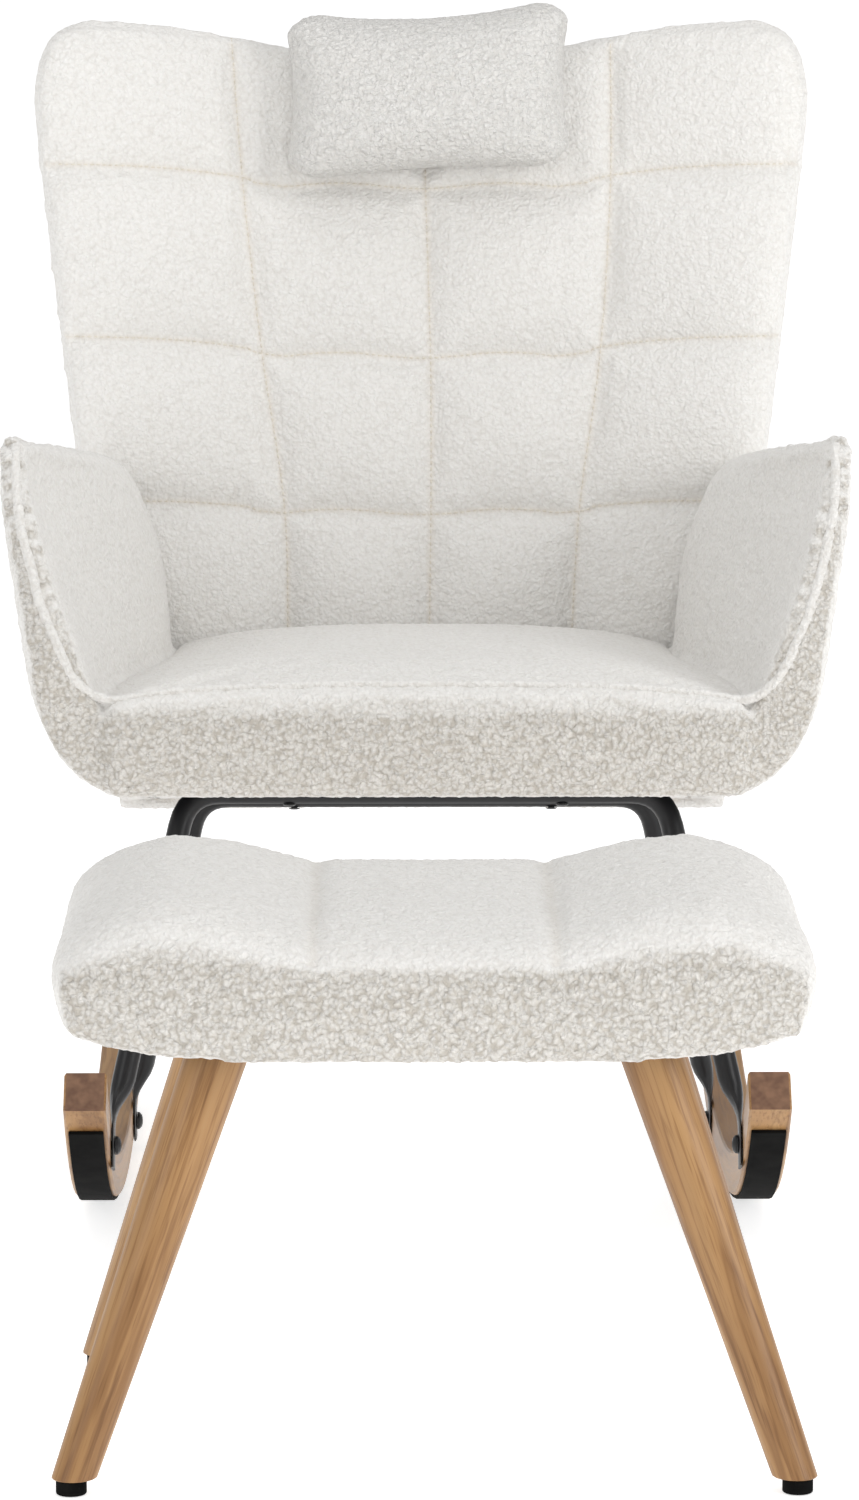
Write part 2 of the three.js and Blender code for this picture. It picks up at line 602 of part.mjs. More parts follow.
// The wooden panel inside an arm. With room to spare it is the cutter for its pocket, open at the rear.
function armPanel(sign, spare) {
  const half = ARM_PANEL.thickness / 2 + spare;
  const rear = spare ? ARM_PANEL.rear + ARM_PANEL.slot : ARM_PANEL.rear;
  const face = (shift) => (u, v) => {
    const { inset, below, above, depth, frontFrom, flatBelow } = ARM_PANEL;
    const front = armFront(lerp(frontFrom, ARM.top - below, v)) + inset - spare;
    const y = lerp(front, rear, u);
    const z = lerp(seatPlane(y, above) - spare, armTop(y) - below + spare, v);
    const { inner, outer } = armFaces(y, Math.max(z, flatBelow));
    return [sign * (lerp(outer, inner, depth) + shift), y, z];
  };
  return pad([face(-half), face(half)], spare ? 7 : 5, 5);
}

for (const [side, sign] of SIDES) {
  const faces = ["inner", "outer"].map((face) => (u, v) => armPoint(sign, face, u, v));
  place(`arm_${side}`, "teddy", cut(pad(faces, 10, 14), armPanel(sign, 1)));
  place(`arm_panel_${side}`, "plywood", armPanel(sign, 0));
}

// ---- Seat cushion and the cover in front of it

const seatHalfWidth = (y, z) => armFaces(y, z).inner - ARM_CLEARANCE;
const seatSeam = (across) => SEAT.frontHeight - SEAT.sideDrop * Math.abs(across) ** 3;

function seatPoint(u, v, top) {
  const across = Math.sin((u - 0.5) * Math.PI);
  const depth = eased(v);
  const { halfWidth, topZ, lowZ, clearance } = SEAT_REAR;
  const rearY = backFaceY(across * halfWidth, top ? topZ : lowZ) - clearance;
  const y = lerp(SEAT.front, rearY, depth);
  const under = seatPlane(y, SEAT.underside);
  if (!top) return [across * seatHalfWidth(y, Math.max(under, SEAT_WIDTH_Z.low)), y, under];
  const x = across * seatHalfWidth(y, SEAT_WIDTH_Z.top);
  const crown = SEAT.crown * Math.sqrt(Math.max(1 - (2 * depth - 1) ** 4, 0)) * (1 - across ** 6);
  const rear = SEAT.rearHeight - SEAT.rearDrop * Math.abs(across) ** 3;
  return [x, y, lerp(seatSeam(across), rear, depth) + crown];
}
place("seat_cushion", "teddy", pad([
  (u, v) => seatPoint(u, v, true),
  (u, v) => seatPoint(u, v, false),
], 12, 10));

function frontCoverPoint(u, v, front) {
  const across = Math.sin((u - 0.5) * Math.PI);
  const rise = eased(v);
  const x = across * FRONT_COVER.halfWidth;
  const z = lerp(FRONT_COVER.bottom, seatSeam(across), rise);
  const bulge = FRONT_COVER.bulge * (1 - (2 * rise - 1) ** 4);
  return [x, front ? FRONT_COVER.front - bulge : FRONT_COVER.rear, z];
}
place("seat_front_cover", "teddy", pad([
  (u, v) => frontCoverPoint(u, v, true),
  (u, v) => frontCoverPoint(u, v, false),
], 12, 6));

// ---- Head pillow, its fastening patch and the strap over the backrest

// Where the middle of the backrest's front face is at a height, moved forward by a distance.
const inFront = (z, distance) => BACK.footY + (z - BACK.footZ) * Math.tan(BACK.recline) - distance;

function pillowPoint(u, v, front) {
  const [a, b] = [Math.sin((u - 0.5) * Math.PI), Math.sin((v - 0.5) * Math.PI)];
  const x = a * PILLOW.halfWidth * (1 - PILLOW.sidePull * (1 - b * b));
  const middle = (PILLOW.bottom + PILLOW.top) / 2;
  const z = middle + b * ((PILLOW.top - PILLOW.bottom) / 2) * (1 - PILLOW.endPull * (1 - a * a));
  const fullness = Math.sqrt((1 - a ** 4) * (1 - b ** 4));
  const thickness = PILLOW.rim + (PILLOW.thickness - PILLOW.rim) * fullness;
  return [x, inFront(z, PILLOW.standOff + (front ? thickness : 0)), z];
}
place("head_pillow", "teddy", pad([
  (u, v) => pillowPoint(u, v, true),
  (u, v) => pillowPoint(u, v, false),
], 10, 8));
function patchFace(distance) {
  return (u, v) => {
    const z = lerp(PATCH.bottom, PATCH.top, v);
    return [lerp(-PATCH.halfWidth, PATCH.halfWidth, u), inFront(z, distance), z];
  };
}
place("pillow_patch", "cloth", pad([patchFace(PATCH.front), patchFace(PATCH.rear)], 1, 1));

// The strap runs up the front of the backrest, over its top edge and down behind.
function strapLine() {
  const { clear, thickness, frontHeights, rearHeights } = STRAP;
  const front = frontHeights.map((z) => [inFront(z, clear), z]);
  const depth = LAYER.coverRear / Math.cos(BACK.recline);
  const rear = rearHeights.map((z) => [inFront(z, -depth - clear - thickness), z]);
  return [...front, ...STRAP_OVER, ...rear];
}
{
  const line = strapLine();
  const rings = line.map(([y, z], i) => {
    const [before, after] = [line[Math.max(i - 1, 0)], line[Math.min(i + 1, line.length - 1)]];
    const along = new THREE.Vector3(0, after[0] - before[0], after[1] - before[1]).normalize();
    const out = new THREE.Vector3(0, -along.z, along.y).multiplyScalar(STRAP.thickness / 2);
    const half = STRAP.width / 2;
    const section = [[-half, -1], [half, -1], [half, 1], [-half, 1]];
    return section.map(([x, k]) => [x, y + k * out.y, z + k * out.z]);
  });
  place("pillow_strap", "cloth", loft(rings));
}

// ---- Footstool

const stoolMiddle = (STOOL.front + STOOL.rear) / 2;
const corners = SIDES.flatMap(([side, sign]) => [[`front_${side}`, sign, -1], [`rear_${side}`, sign, 1]]);

function stoolPoint(u, v, top) {
  const [a, b] = [Math.sin((u - 0.5) * Math.PI), Math.sin((v - 0.5) * Math.PI)];
  const x = a * STOOL.halfWidth * (1 - STOOL_PULL.side * b ** 8);
  const y = stoolMiddle + b * ((STOOL.rear - STOOL.front) / 2) * (1 - STOOL_PULL.end * a ** 8);
  const edge = Math.sqrt((1 - Math.abs(a) ** 14) * (1 - b ** 8));
  if (!top) {
    const { turnUp, from, droop, levelFrom, levelTo } = STOOL_HEM;
    const beyond = Math.max(Math.abs(x) - from, 0) / (STOOL.halfWidth - from);
    const turned = turnUp * beyond ** 1.6 - droop;
    const hem = turned > 0 ? turned : turned * smoothstep(Math.abs(b), levelFrom, levelTo);
    return [x * (1 - STOOL_PULL.hem * a ** 8), y, STOOL.underside + hem];
  }
  const fromSaddle = (Math.abs(x) - STOOL_SADDLE.x) / STOOL_SADDLE.width;
  const saddle = STOOL_SADDLE.height * Math.exp(-(fromSaddle ** 2));
  return [x, y, STOOL.top - STOOL.edgeDrop * (1 - edge) + saddle * edge];
}

// The slanted line of a leg, from the floor to the underside of the board.
function stoolLegAxis(sign, end) {
  const footX = end < 0 ? STOOL_LEG.footX : STOOL_LEG.rearFootX;
  const foot = new THREE.Vector3(sign * footX, stoolMiddle + end * STOOL_LEG.footY, 0);
  const top = new THREE.Vector3(sign * STOOL_LEG.topX, stoolMiddle + end * STOOL_LEG.topY, STOOL.underside);
  const direction = top.clone().sub(foot).normalize();
  return { direction, at: (z) => foot.clone().lerp(top, z / STOOL.underside) };
}

// A round tapered leg whose both ends are cut level.
function stoolLeg(axis, from, to) {
  const tilt = Math.acos(axis.direction.z);
  const lean = new THREE.Vector3(axis.direction.x, axis.direction.y, 0).normalize();
  const across = new THREE.Vector3(-lean.y, lean.x, 0);
  const rings = [0, 0.35, 0.7, 1].map((t) => {
    const z = lerp(from, to, t);
    const radius = lerp(STOOL_LEG.footRadius, STOOL_LEG.topRadius, t);
    const first = lean.clone().multiplyScalar(radius / Math.cos(tilt));
    return ring(axis.at(z), first, across.clone().multiplyScalar(radius), STOOL_LEG.sides);
  });
  return loft(rings);
}

const plateTop = STOOL.underside - GAP;
const legTop = plateTop - PLATE_SIZE.thickness - GAP;
const boardBottom = STOOL.underside + DUST_COVER + GAP;
const studDrills = [];

for (const [name, sign, end] of corners) {
  const axis = stoolLegAxis(sign, end);
  const studFrom = axis.at(legTop - STUD.intoLeg);
  const studTo = axis.at(boardBottom + STUD.intoBoard);
  const middle = studFrom.clone().lerp(studTo, 0.5);
  const drill = rod(STUD.radius + GAP, studFrom.distanceTo(studTo) + 2, middle, axis.direction, SMALL_ROUND);
  studDrills.push(drill);
  place(`stool_leg_${name}`, "oak", cut(stoolLeg(axis, GLIDE.height + GAP, legTop), drill));
  const { x, y } = axis.at(plateTop);
  const { half } = PLATE_SIZE;
  const plate = box(x - half, x + half, y - half, y + half, legTop + GAP, plateTop);
  place(`stool_leg_plate_${name}`, "steel", cut(plate, drill));
  const stud = rod(STUD.radius, studFrom.distanceTo(studTo), middle, axis.direction, SMALL_ROUND);
  place(`stool_stud_${name}`, "steel", stud);
  const foot = axis.at(GLIDE.height / 2);
  const up = new THREE.Vector3(0, 0, 1);
  place(`stool_glide_${name}`, "rubber", rod(GLIDE.radius, GLIDE.height, foot, up, GLIDE.sides));
}

{
  const { halfWidth, inset, thickness, clearance } = STOOL_BOARD;
  const depth = [STOOL.front + inset, STOOL.rear - inset];
  const board = box(-halfWidth, halfWidth, ...depth, boardBottom, boardBottom + thickness);
  place("stool_board", "plywood", cut(board, ...studDrills));
  const cloth = box(-halfWidth, halfWidth, ...depth, STOOL.underside, STOOL.underside + DUST_COVER);
  place("stool_dust_cover", "cloth", cut(cloth, ...studDrills));
  const whole = pad([(u, v) => stoolPoint(u, v, true), (u, v) => stoolPoint(u, v, false)], 16, 12);
  const [half, front, rear] = [halfWidth + clearance, depth[0] - clearance, depth[1] + clearance];
  const pocket = box(-half, half, front, rear, STOOL.pocketFrom, boardBottom + thickness + clearance);
  place("stool_cushion", "teddy", cut(whole, pocket));
}

// ---- The origin is on the floor under the middle of the whole set

const size = new THREE.Box3().setFromObject(set);
set.position.y = -(size.min.y + size.max.y) / 2;

export default set;
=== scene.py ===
"""Looks for a wing-back rocking chair, its head pillow and its footstool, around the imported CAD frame."""

import json
import math

import bmesh
import bpy
import numpy as np
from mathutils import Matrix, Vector, noise
from mathutils.bvhtree import BVHTree


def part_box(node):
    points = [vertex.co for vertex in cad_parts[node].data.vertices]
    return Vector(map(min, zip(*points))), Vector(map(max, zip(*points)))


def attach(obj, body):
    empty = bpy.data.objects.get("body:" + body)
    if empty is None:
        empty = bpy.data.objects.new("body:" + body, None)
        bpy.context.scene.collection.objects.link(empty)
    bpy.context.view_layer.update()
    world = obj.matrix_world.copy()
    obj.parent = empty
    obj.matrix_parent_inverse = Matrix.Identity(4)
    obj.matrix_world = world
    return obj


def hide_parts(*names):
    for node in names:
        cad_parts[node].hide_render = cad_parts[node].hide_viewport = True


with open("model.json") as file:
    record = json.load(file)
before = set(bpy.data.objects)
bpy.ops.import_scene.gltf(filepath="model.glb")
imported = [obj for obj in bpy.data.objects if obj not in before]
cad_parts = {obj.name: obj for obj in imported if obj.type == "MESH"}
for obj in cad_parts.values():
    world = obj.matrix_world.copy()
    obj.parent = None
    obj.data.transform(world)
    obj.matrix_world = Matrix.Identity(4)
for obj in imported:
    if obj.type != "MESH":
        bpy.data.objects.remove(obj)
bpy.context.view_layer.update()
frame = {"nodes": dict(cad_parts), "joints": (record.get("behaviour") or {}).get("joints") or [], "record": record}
ROCK = next(joint for joint in frame["joints"] if joint["name"] == "rock")
ROCK_AXIS_Y = 0.066  # the rocking axis from the chair's own zero along Y
CHAIR_Y = ROCK["pos_m"][1] - ROCK_AXIS_Y
SIDES = ("left", "right")
CORNERS = ("front_left", "front_right", "rear_left", "rear_right")
WELD = 2e-5  # corners of a CAD node nearer than this are one corner
CLOTH = {"quality": 4, "mass": 0.3, "bending_stiffness": 0.5}
CLOTH |= {"tension_stiffness": 12, "compression_stiffness": 12, "shear_stiffness": 5}
CLOTH_FRAMES = 20
SHARP_EDGE = math.radians(35)  # hard pieces keep a crease where two faces meet at more than this
FLAT_EDGE = math.radians(0.5)  # faces that meet at less than this are made one face


# ---- Numbers from meshes


def coords(obj):
    co = np.empty(len(obj.data.vertices) * 3, np.float32)
    obj.data.vertices.foreach_get("co", co)
    return co.reshape(-1, 3).astype(float)


def set_coords(obj, co):
    obj.data.vertices.foreach_set("co", co.astype(np.float32).ravel())
    obj.data.update()


def normals(obj):
    found = np.empty(len(obj.data.vertices) * 3, np.float32)
    obj.data.vertex_normals.foreach_get("vector", found)
    return found.reshape(-1, 3).astype(float)


def smoothstep(x, low, high):
    t = np.clip((x - low) / (high - low), 0, 1)
    return t * t * (3 - 2 * t)


def line_distance(points, line):
    """How far each point is from a polyline. Both have the same number of columns."""
    best = np.full(len(points), np.inf)
    for a, b in zip(line[:-1], line[1:]):
        a, b = np.array(a, float), np.array(b, float)
        along = b - a
        t = np.clip(((points - a) @ along) / (along @ along), 0, 1)
        best = np.minimum(best, np.linalg.norm(points - a - t[:, None] * along, axis=1))
    return best


def smooth_line(points, steps):
    """A Catmull-Rom line through the points, with that many steps between two of them."""
    p = np.array(points, float)
    p = np.vstack([2 * p[0] - p[1], p, 2 * p[-1] - p[-2]])
    out = []
    for i in range(1, len(p) - 2):
        for k in range(steps):
            t = k / steps
            a, b, c, d = p[i - 1 : i + 3]
            curve = (2 * a - 5 * b + 4 * c - d) * t * t + (3 * b - a - 3 * c + d) * t**3
            out.append(0.5 * (2 * b + (c - a) * t + curve))
    return np.array(out + [p[-2]])


def evenly(line, pitch):
    """The line's points again, one each pitch along it."""
    steps = np.linalg.norm(np.diff(line, axis=0), axis=1)
    run = np.concatenate([[0], np.cumsum(steps)])
    at = np.linspace(0, run[-1], max(int(round(run[-1] / pitch)), 2) + 1)
    return np.stack([np.interp(at, run, line[:, k]) for k in range(line.shape[1])], axis=1)


# ---- Making pieces


def link(name, mesh):
    obj = bpy.data.objects.new(name, mesh)
    bpy.context.scene.collection.objects.link(obj)
    return obj


def merged_copy(name, nodes, swell=None, shift=None):
    """One new object from copies of CAD nodes.

    swell thickens some of them on every side, and shift moves some of them.
    """
    bm = bmesh.new()
    for node in nodes:
        part = bmesh.new()
        part.from_mesh(frame["nodes"][node].data)
        bmesh.ops.remove_doubles(part, verts=part.verts, dist=WELD)
        part.normal_update()
        for vertex in part.verts:
            vertex.co += vertex.normal * (swell or {}).get(node, 0.0) * vertex.calc_shell_factor()
            vertex.co += Vector((shift or {}).get(node, (0, 0, 0)))
        mesh = bpy.data.meshes.new(node)
        part.to_mesh(mesh)
        part.free()
        bm.from_mesh(mesh)
        bpy.data.meshes.remove(mesh)
    mesh = bpy.data.meshes.new(name)
    bm.to_mesh(mesh)
    bm.free()
    mesh.materials.clear()
    return link(name, mesh)


def applied(obj):
    """Leaves the object's modifiers in its mesh."""
    graph = bpy.context.evaluated_depsgraph_get()
    mesh = bpy.data.meshes.new_from_object(obj.evaluated_get(graph))
    old = obj.data
    obj.modifiers.clear()
    obj.data = mesh
    bpy.data.meshes.remove(old)
    return obj


def remeshed(obj, voxel, rounds):
    remesh = obj.modifiers.new("remesh", "REMESH")
    remesh.mode = "VOXEL"
    remesh.voxel_size = voxel
    remesh.use_smooth_shade = True
    smooth = obj.modifiers.new("smooth", "SMOOTH")
    smooth.factor = 0.5
    smooth.iterations = rounds
    return applied(obj)


def subdivided(obj):
    subdivision = obj.modifiers.new("subdivision", "SUBSURF")
    subdivision.levels = 1
    subdivision.render_levels = 1
    return applied(obj)


def swelled(obj, pinned, pressure, cap):
    """Fills the piece by a cloth simulation.

    pinned is 1 on each vertex that is held and 0 on the others, and cap is the most that one may move.
    """
    before = coords(obj)
    group = obj.vertex_groups.new(name="pinned")
    group.add([int(i) for i in np.nonzero(pinned >= 1.0)[0]], 1.0, "REPLACE")
    cloth = obj.modifiers.new("cloth", "CLOTH")
    settings = cloth.settings
    for key, value in CLOTH.items():
        setattr(settings, key, value)
    settings.use_pressure = True
    settings.uniform_pressure_force = pressure
    settings.effector_weights.gravity = 0
    settings.vertex_group_mass = "pinned"
    cloth.collision_settings.use_collision = False
    cloth.point_cache.frame_start = 1
    cloth.point_cache.frame_end = CLOTH_FRAMES
    scene = bpy.context.scene
    for step in range(1, CLOTH_FRAMES + 1):
        scene.frame_set(step)
    applied(obj)
    moved = coords(obj) - before
    length = np.linalg.norm(moved, axis=1)[:, None]
    still = 1e-9
    share = cap * np.tanh(length / cap) / np.maximum(length, still)
    set_coords(obj, before + moved * np.where(length > still, share, 0))
    obj.vertex_groups.clear()
    scene.frame_set(1)
    return obj


def relaxed(obj, rounds):
    smooth = obj.modifiers.new("smooth", "SMOOTH")
    smooth.factor = 0.5
    smooth.iterations = rounds
    return applied(obj)


def pushed(obj, amounts):
    """Moves each vertex along its normal by its amount."""
    set_coords(obj, coords(obj) + normals(obj) * amounts[:, None])
    return obj


def curled(obj, height, size):
    """The lumps of the curly pile, as real relief. height is one number, or one for each vertex."""
    co = coords(obj)
    fine = size * 0.45
    values = [noise.noise(Vector(p) / size) + 0.5 * noise.noise(Vector(p) / fine) for p in co]
    return pushed(obj, height * np.array(values))


def marked(obj, name, values):
    """Keeps a number for each vertex, for the materials to read."""
    attribute = obj.data.attributes.new(name, "FLOAT", "POINT")
    attribute.data.foreach_set("value", values.astype(np.float32))


def open_and_shaded_to_front(obj):
    """How open the pile on each vertex is, with painted shade to match: both are on the upright faces that look
    forward.
    """
    facing = normals(obj)
    return smoothstep(-facing[:, 1], 0.25, 0.75) * (1 - smoothstep(facing[:, 2], 0.3, 0.7))


def finished(obj, material, body, slot, *nodes):
    obj.data.materials.clear()
    obj.data.materials.append(material)
    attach(obj, body)
    if nodes:
        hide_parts(*nodes)
    return obj


def tube(name, line, radius, sides, pulse):
    """A round tube along a line. pulse makes its radius swell and shrink a little along the way."""
    line = np.array(line, float)
    bm = bmesh.new()
    up = Vector((0, 0, 1))
    rings = []
    for i, point in enumerate(line):
        along = Vector(line[min(i + 1, len(line) - 1)] - line[max(i - 1, 0)]).normalized()
        side = along.cross(up)
        if side.length < 0.2:
            side = along.cross(Vector((1, 0, 0)))
        side.normalize()
        other = side.cross(along)
        size = radius * (1 + pulse * noise.noise(Vector(point) * 90))
        turns = [2 * math.pi * k / sides for k in range(sides)]
        ring = [Vector(point) + (side * math.cos(a) + other * math.sin(a)) * size for a in turns]
        rings.append([bm.verts.new(corner) for corner in ring])
    for a, b in zip(rings[:-1], rings[1:]):
        for k in range(sides):
            bm.faces.new((a[k], a[(k + 1) % sides], b[(k + 1) % sides], b[k]))
    bm.faces.new(rings[0])
    bm.faces.new(rings[-1])
    bmesh.ops.recalc_face_normals(bm, faces=bm.faces)
    mesh = bpy.data.meshes.new(name)
    bm.to_mesh(mesh)
    bm.free()
    mesh.polygons.foreach_set("use_smooth", [True] * len(mesh.polygons))
    return link(name, mesh)


def surface(*objects):
    """Something to ask where the shown surface is."""
    trees = []
    for obj in objects:
        bm = bmesh.new()
        bm.from_mesh(obj.data)
        trees.append(BVHTree.FromBMesh(bm))
        bm.free()
    return trees


def on_surface(trees, point, lift):
    """The nearest place on a surface, moved out by lift."""
    hits = [tree.find_nearest(Vector(point)) for tree in trees]
    place, normal, _, _ = min((h for h in hits if h[0] is not None), key=lambda h: h[3])
    return place + normal * lift


def stitches(name, lines, length, gap, radius):
    """Short threads end to end along lines, as one mesh. Each line is points on a surface."""
    bm = bmesh.new()
    for line in lines:
        pts = evenly(np.array(line, float), length + gap)
        for a, b in zip(pts[:-1], pts[1:]):
            start, way = Vector(a), Vector(b) - Vector(a)
            end = start + way * (length / (length + gap))
            middle = (start + end) / 2
            made = bmesh.ops.create_icosphere(bm, subdivisions=1, radius=1.0)
            turn = way.to_track_quat("X", "Z").to_matrix()
            for vertex in made["verts"]:
                local = Vector((vertex.co.x * length * 0.55, vertex.co.y * radius, vertex.co.z * radius))
                vertex.co = middle + turn @ local
    mesh = bpy.data.meshes.new(name)
    bm.to_mesh(mesh)
    bm.free()
    mesh.polygons.foreach_set("use_smooth", [True] * len(mesh.polygons))
    return link(name, mesh)


# ---- Materials


class Nodes:
    """A small way to write a material's nodes."""

    def __init__(self, name, **fixed):
        self.material = bpy.data.materials.new(name)
        self.material.use_nodes = True
        self.tree = self.material.node_tree
        self.shader = self.tree.nodes["Principled BSDF"]
        for socket, value in fixed.items():
            self.shader.inputs[socket.replace("_", " ")].default_value = value
        self.place = self.tree.nodes.new("ShaderNodeTexCoord").outputs["Object"]

    def add(self, kind, inputs=None, **settings):
        node = self.tree.nodes.new(kind)
        for key, value in settings.items():
            setattr(node, key, value)
        for key, value in (inputs or {}).items():
            if isinstance(value, bpy.types.NodeSocket):
                self.tree.links.new(value, node.inputs[key])
            else:
                node.inputs[key].default_value = value
        return node

    def noise(self, scale, detail=2.0, at=None, rough=0.5, distortion=0.0):
        inputs = {"Vector": at or self.place, "Scale": scale, "Detail": detail}
        inputs |= {"Roughness": rough, "Distortion": distortion}
        return self.add("ShaderNodeTexNoise", inputs).outputs["Fac"]

    def cells(self, scale, at=None, feature="F1", smooth=1.0):
        inputs = {"Vector": at or self.place, "Scale": scale}
        node = self.add("ShaderNodeTexVoronoi", inputs, feature=feature)
        if feature == "SMOOTH_F1":
            node.inputs["Smoothness"].default_value = smooth
        return node.outputs["Distance"]

    def stretched(self, scale, turn=(0, 0, 0), at=None):
        node = self.add("ShaderNodeMapping", {"Vector": at or self.place, "Scale": scale, "Rotation": turn})
        return node.outputs["Vector"]

    def ramp(self, fac, stops):
        node = self.add("ShaderNodeValToRGB", {"Fac": fac})
        elements = node.color_ramp.elements
        while len(elements) < len(stops):
            elements.new(0.5)
        for element, (position, colour) in zip(elements, stops):
            element.position = position
            element.color = (*colour, 1)
        return node.outputs["Color"]

    def blend(self, fac, a, b, kind="MIX"):
        node = self.add("ShaderNodeMix", data_type="RGBA", blend_type=kind)
        for socket, value in ((node.inputs[0], fac), (node.inputs[6], a), (node.inputs[7], b)):
            if isinstance(value, bpy.types.NodeSocket):
                self.tree.links.new(value, socket)
            else:
                socket.default_value = value
        return node.outputs[2]

    def maths(self, kind, a, b=0.0, c=0.0):
        node = self.add("ShaderNodeMath", operation=kind)
        for socket, value in zip(node.inputs, (a, b, c)):
            if isinstance(value, bpy.types.NodeSocket):
                self.tree.links.new(value, socket)
            else:
                socket.default_value = value
        return node.outputs[0]

    def kept(self, name):
        return self.add("ShaderNodeAttribute", attribute_name=name).outputs["Fac"]

    def bump(self, height, strength, distance, under=None):
        inputs = {"Height": height, "Strength": strength, "Distance": distance}
        if under is not None:
            inputs["Normal"] = under
        return self.add("ShaderNodeBump", inputs).outputs["Normal"]

    def done(self, colour=None, roughness=None, normal=None):
        for socket, value in (("Base Color", colour), ("Roughness", roughness), ("Normal", normal)):
            if value is not None:
                self.tree.links.new(value, self.shader.inputs[socket])
        return self.material


# The pile's colours, each at its place on a ramp.
TEDDY_COMBED = [(0.15, (0.85, 0.84, 0.82)), (0.5, (0.83, 0.815, 0.79)), (0.85, (0.77, 0.75, 0.72))]
# The next ramp is the open pile's darker ground. Part of its darkness is painted shade for the faces that look
# forward.
TEDDY_OPEN_AND_SHADE = [(0.1, (0.83, 0.808, 0.772)), (0.42, (0.765, 0.737, 0.692)), (0.75, (0.575, 0.535, 0.475))]
TEDDY_THREADS = [(0.3, (0.86, 0.85, 0.835)), (0.6, (1.0, 1.0, 0.995))]
TEDDY_CLUMPS = [(0.3, (0.95, 0.945, 0.935)), (0.7, (1, 1, 1))]
# The seam tint is painted shade for the crevice along each seam.
TEDDY_SEAM_SHADE = (0.68, 0.59, 0.47, 1)


def teddy_cloth(name, curl=0.0034, relief=0.75):
    """Curly cream pile with loops curl wide. Where marked, the ground between them is darker, partly from open
    pile and partly from painted shade on the forward faces, and the seam mark tints it with painted crevice shade.
    """
    n = Nodes(name, Sheen_Weight=0.25, Sheen_Roughness=0.6, Specular_IOR_Level=0.15)
    wobble = n.add("ShaderNodeTexNoise", {"Vector": n.place, "Scale": 0.6 / curl, "Detail": 1.0})
    wobble = wobble.outputs["Color"]
    bent = n.add("ShaderNodeVectorMath", {0: wobble, 1: (curl * 1.3,) * 3}, operation="MULTIPLY").outputs[0]
    bent = n.add("ShaderNodeVectorMath", {0: n.place, 1: bent}, operation="ADD").outputs[0]
    loops = n.cells(1 / curl, at=bent, feature="SMOOTH_F1", smooth=0.35)
    threads = n.noise(2.6 / curl, detail=3.0, at=bent, rough=0.65)
    clumps = n.noise(0.28 / curl, detail=2.0)
    height = n.maths("MULTIPLY_ADD", loops, -1.0, n.maths("MULTIPLY", threads, 0.55))
    height = n.maths("MULTIPLY_ADD", clumps, 0.35, height)
    # Marked on the forward faces: a coarser open pile, and painted shade that darkens them.
    coarse = n.kept("coarse")
    combed = n.ramp(loops, TEDDY_COMBED)
    open_pile_and_shade = n.ramp(loops, TEDDY_OPEN_AND_SHADE)
    ground = n.blend(coarse, combed, open_pile_and_shade)
    speckled = n.blend(0.35, ground, n.ramp(threads, TEDDY_THREADS), "MULTIPLY")
    mottled = n.blend(0.5, speckled, n.ramp(clumps, TEDDY_CLUMPS), "MULTIPLY")
    # Painted crevice shade along the marked seams.
    seam = n.blend(n.maths("MULTIPLY", n.kept("seam"), 0.32), mottled, TEDDY_SEAM_SHADE)
    roughness = n.maths("MULTIPLY_ADD", clumps, 0.12, 0.86)
    normal = n.bump(height, n.maths("MULTIPLY_ADD", coarse, 0.7, relief), curl * 0.55)
    return n.done(seam, roughness, normal)


def thread_cloth(name):
    n = Nodes(name, Specular_IOR_Level=0.3)
    twist = n.noise(900, detail=1.0)
    colour = n.ramp(twist, [(0.3, (0.64, 0.58, 0.49)), (0.7, (0.80, 0.76, 0.68))])
    return n.done(colour, n.maths("MULTIPLY_ADD", twist, 0.2, 0.6), n.bump(twist, 0.3, 0.0003))


# The wood's colours, each at its place on a ramp. Those of the lines and pores multiply the first.
OAK_BANDS = [(0.3, (0.29, 0.145, 0.055)), (0.5, (0.43, 0.235, 0.094)), (0.7, (0.54, 0.32, 0.142))]
OAK_RINGS = [(0.05, (0.62, 0.52, 0.42)), (0.4, (1, 1, 1)), (0.95, (1.06, 1.05, 1.03))]
OAK_PORES = [(0.36, (0.52, 0.42, 0.33)), (0.5, (1, 1, 1))]
OAK_FLECKS = [(0.4, (0.85, 0.8, 0.74)), (0.62, (1.08, 1.06, 1.02))]
OAK_END = [(0.3, (0.17, 0.078, 0.040)), (0.7, (0.28, 0.145, 0.078))]
OAK_TONE = 0.81  # all of the wood's own colours are darkened by this


def toned(stops):
    return [(position, tuple(part * OAK_TONE for part in colour)) for position, colour in stops]


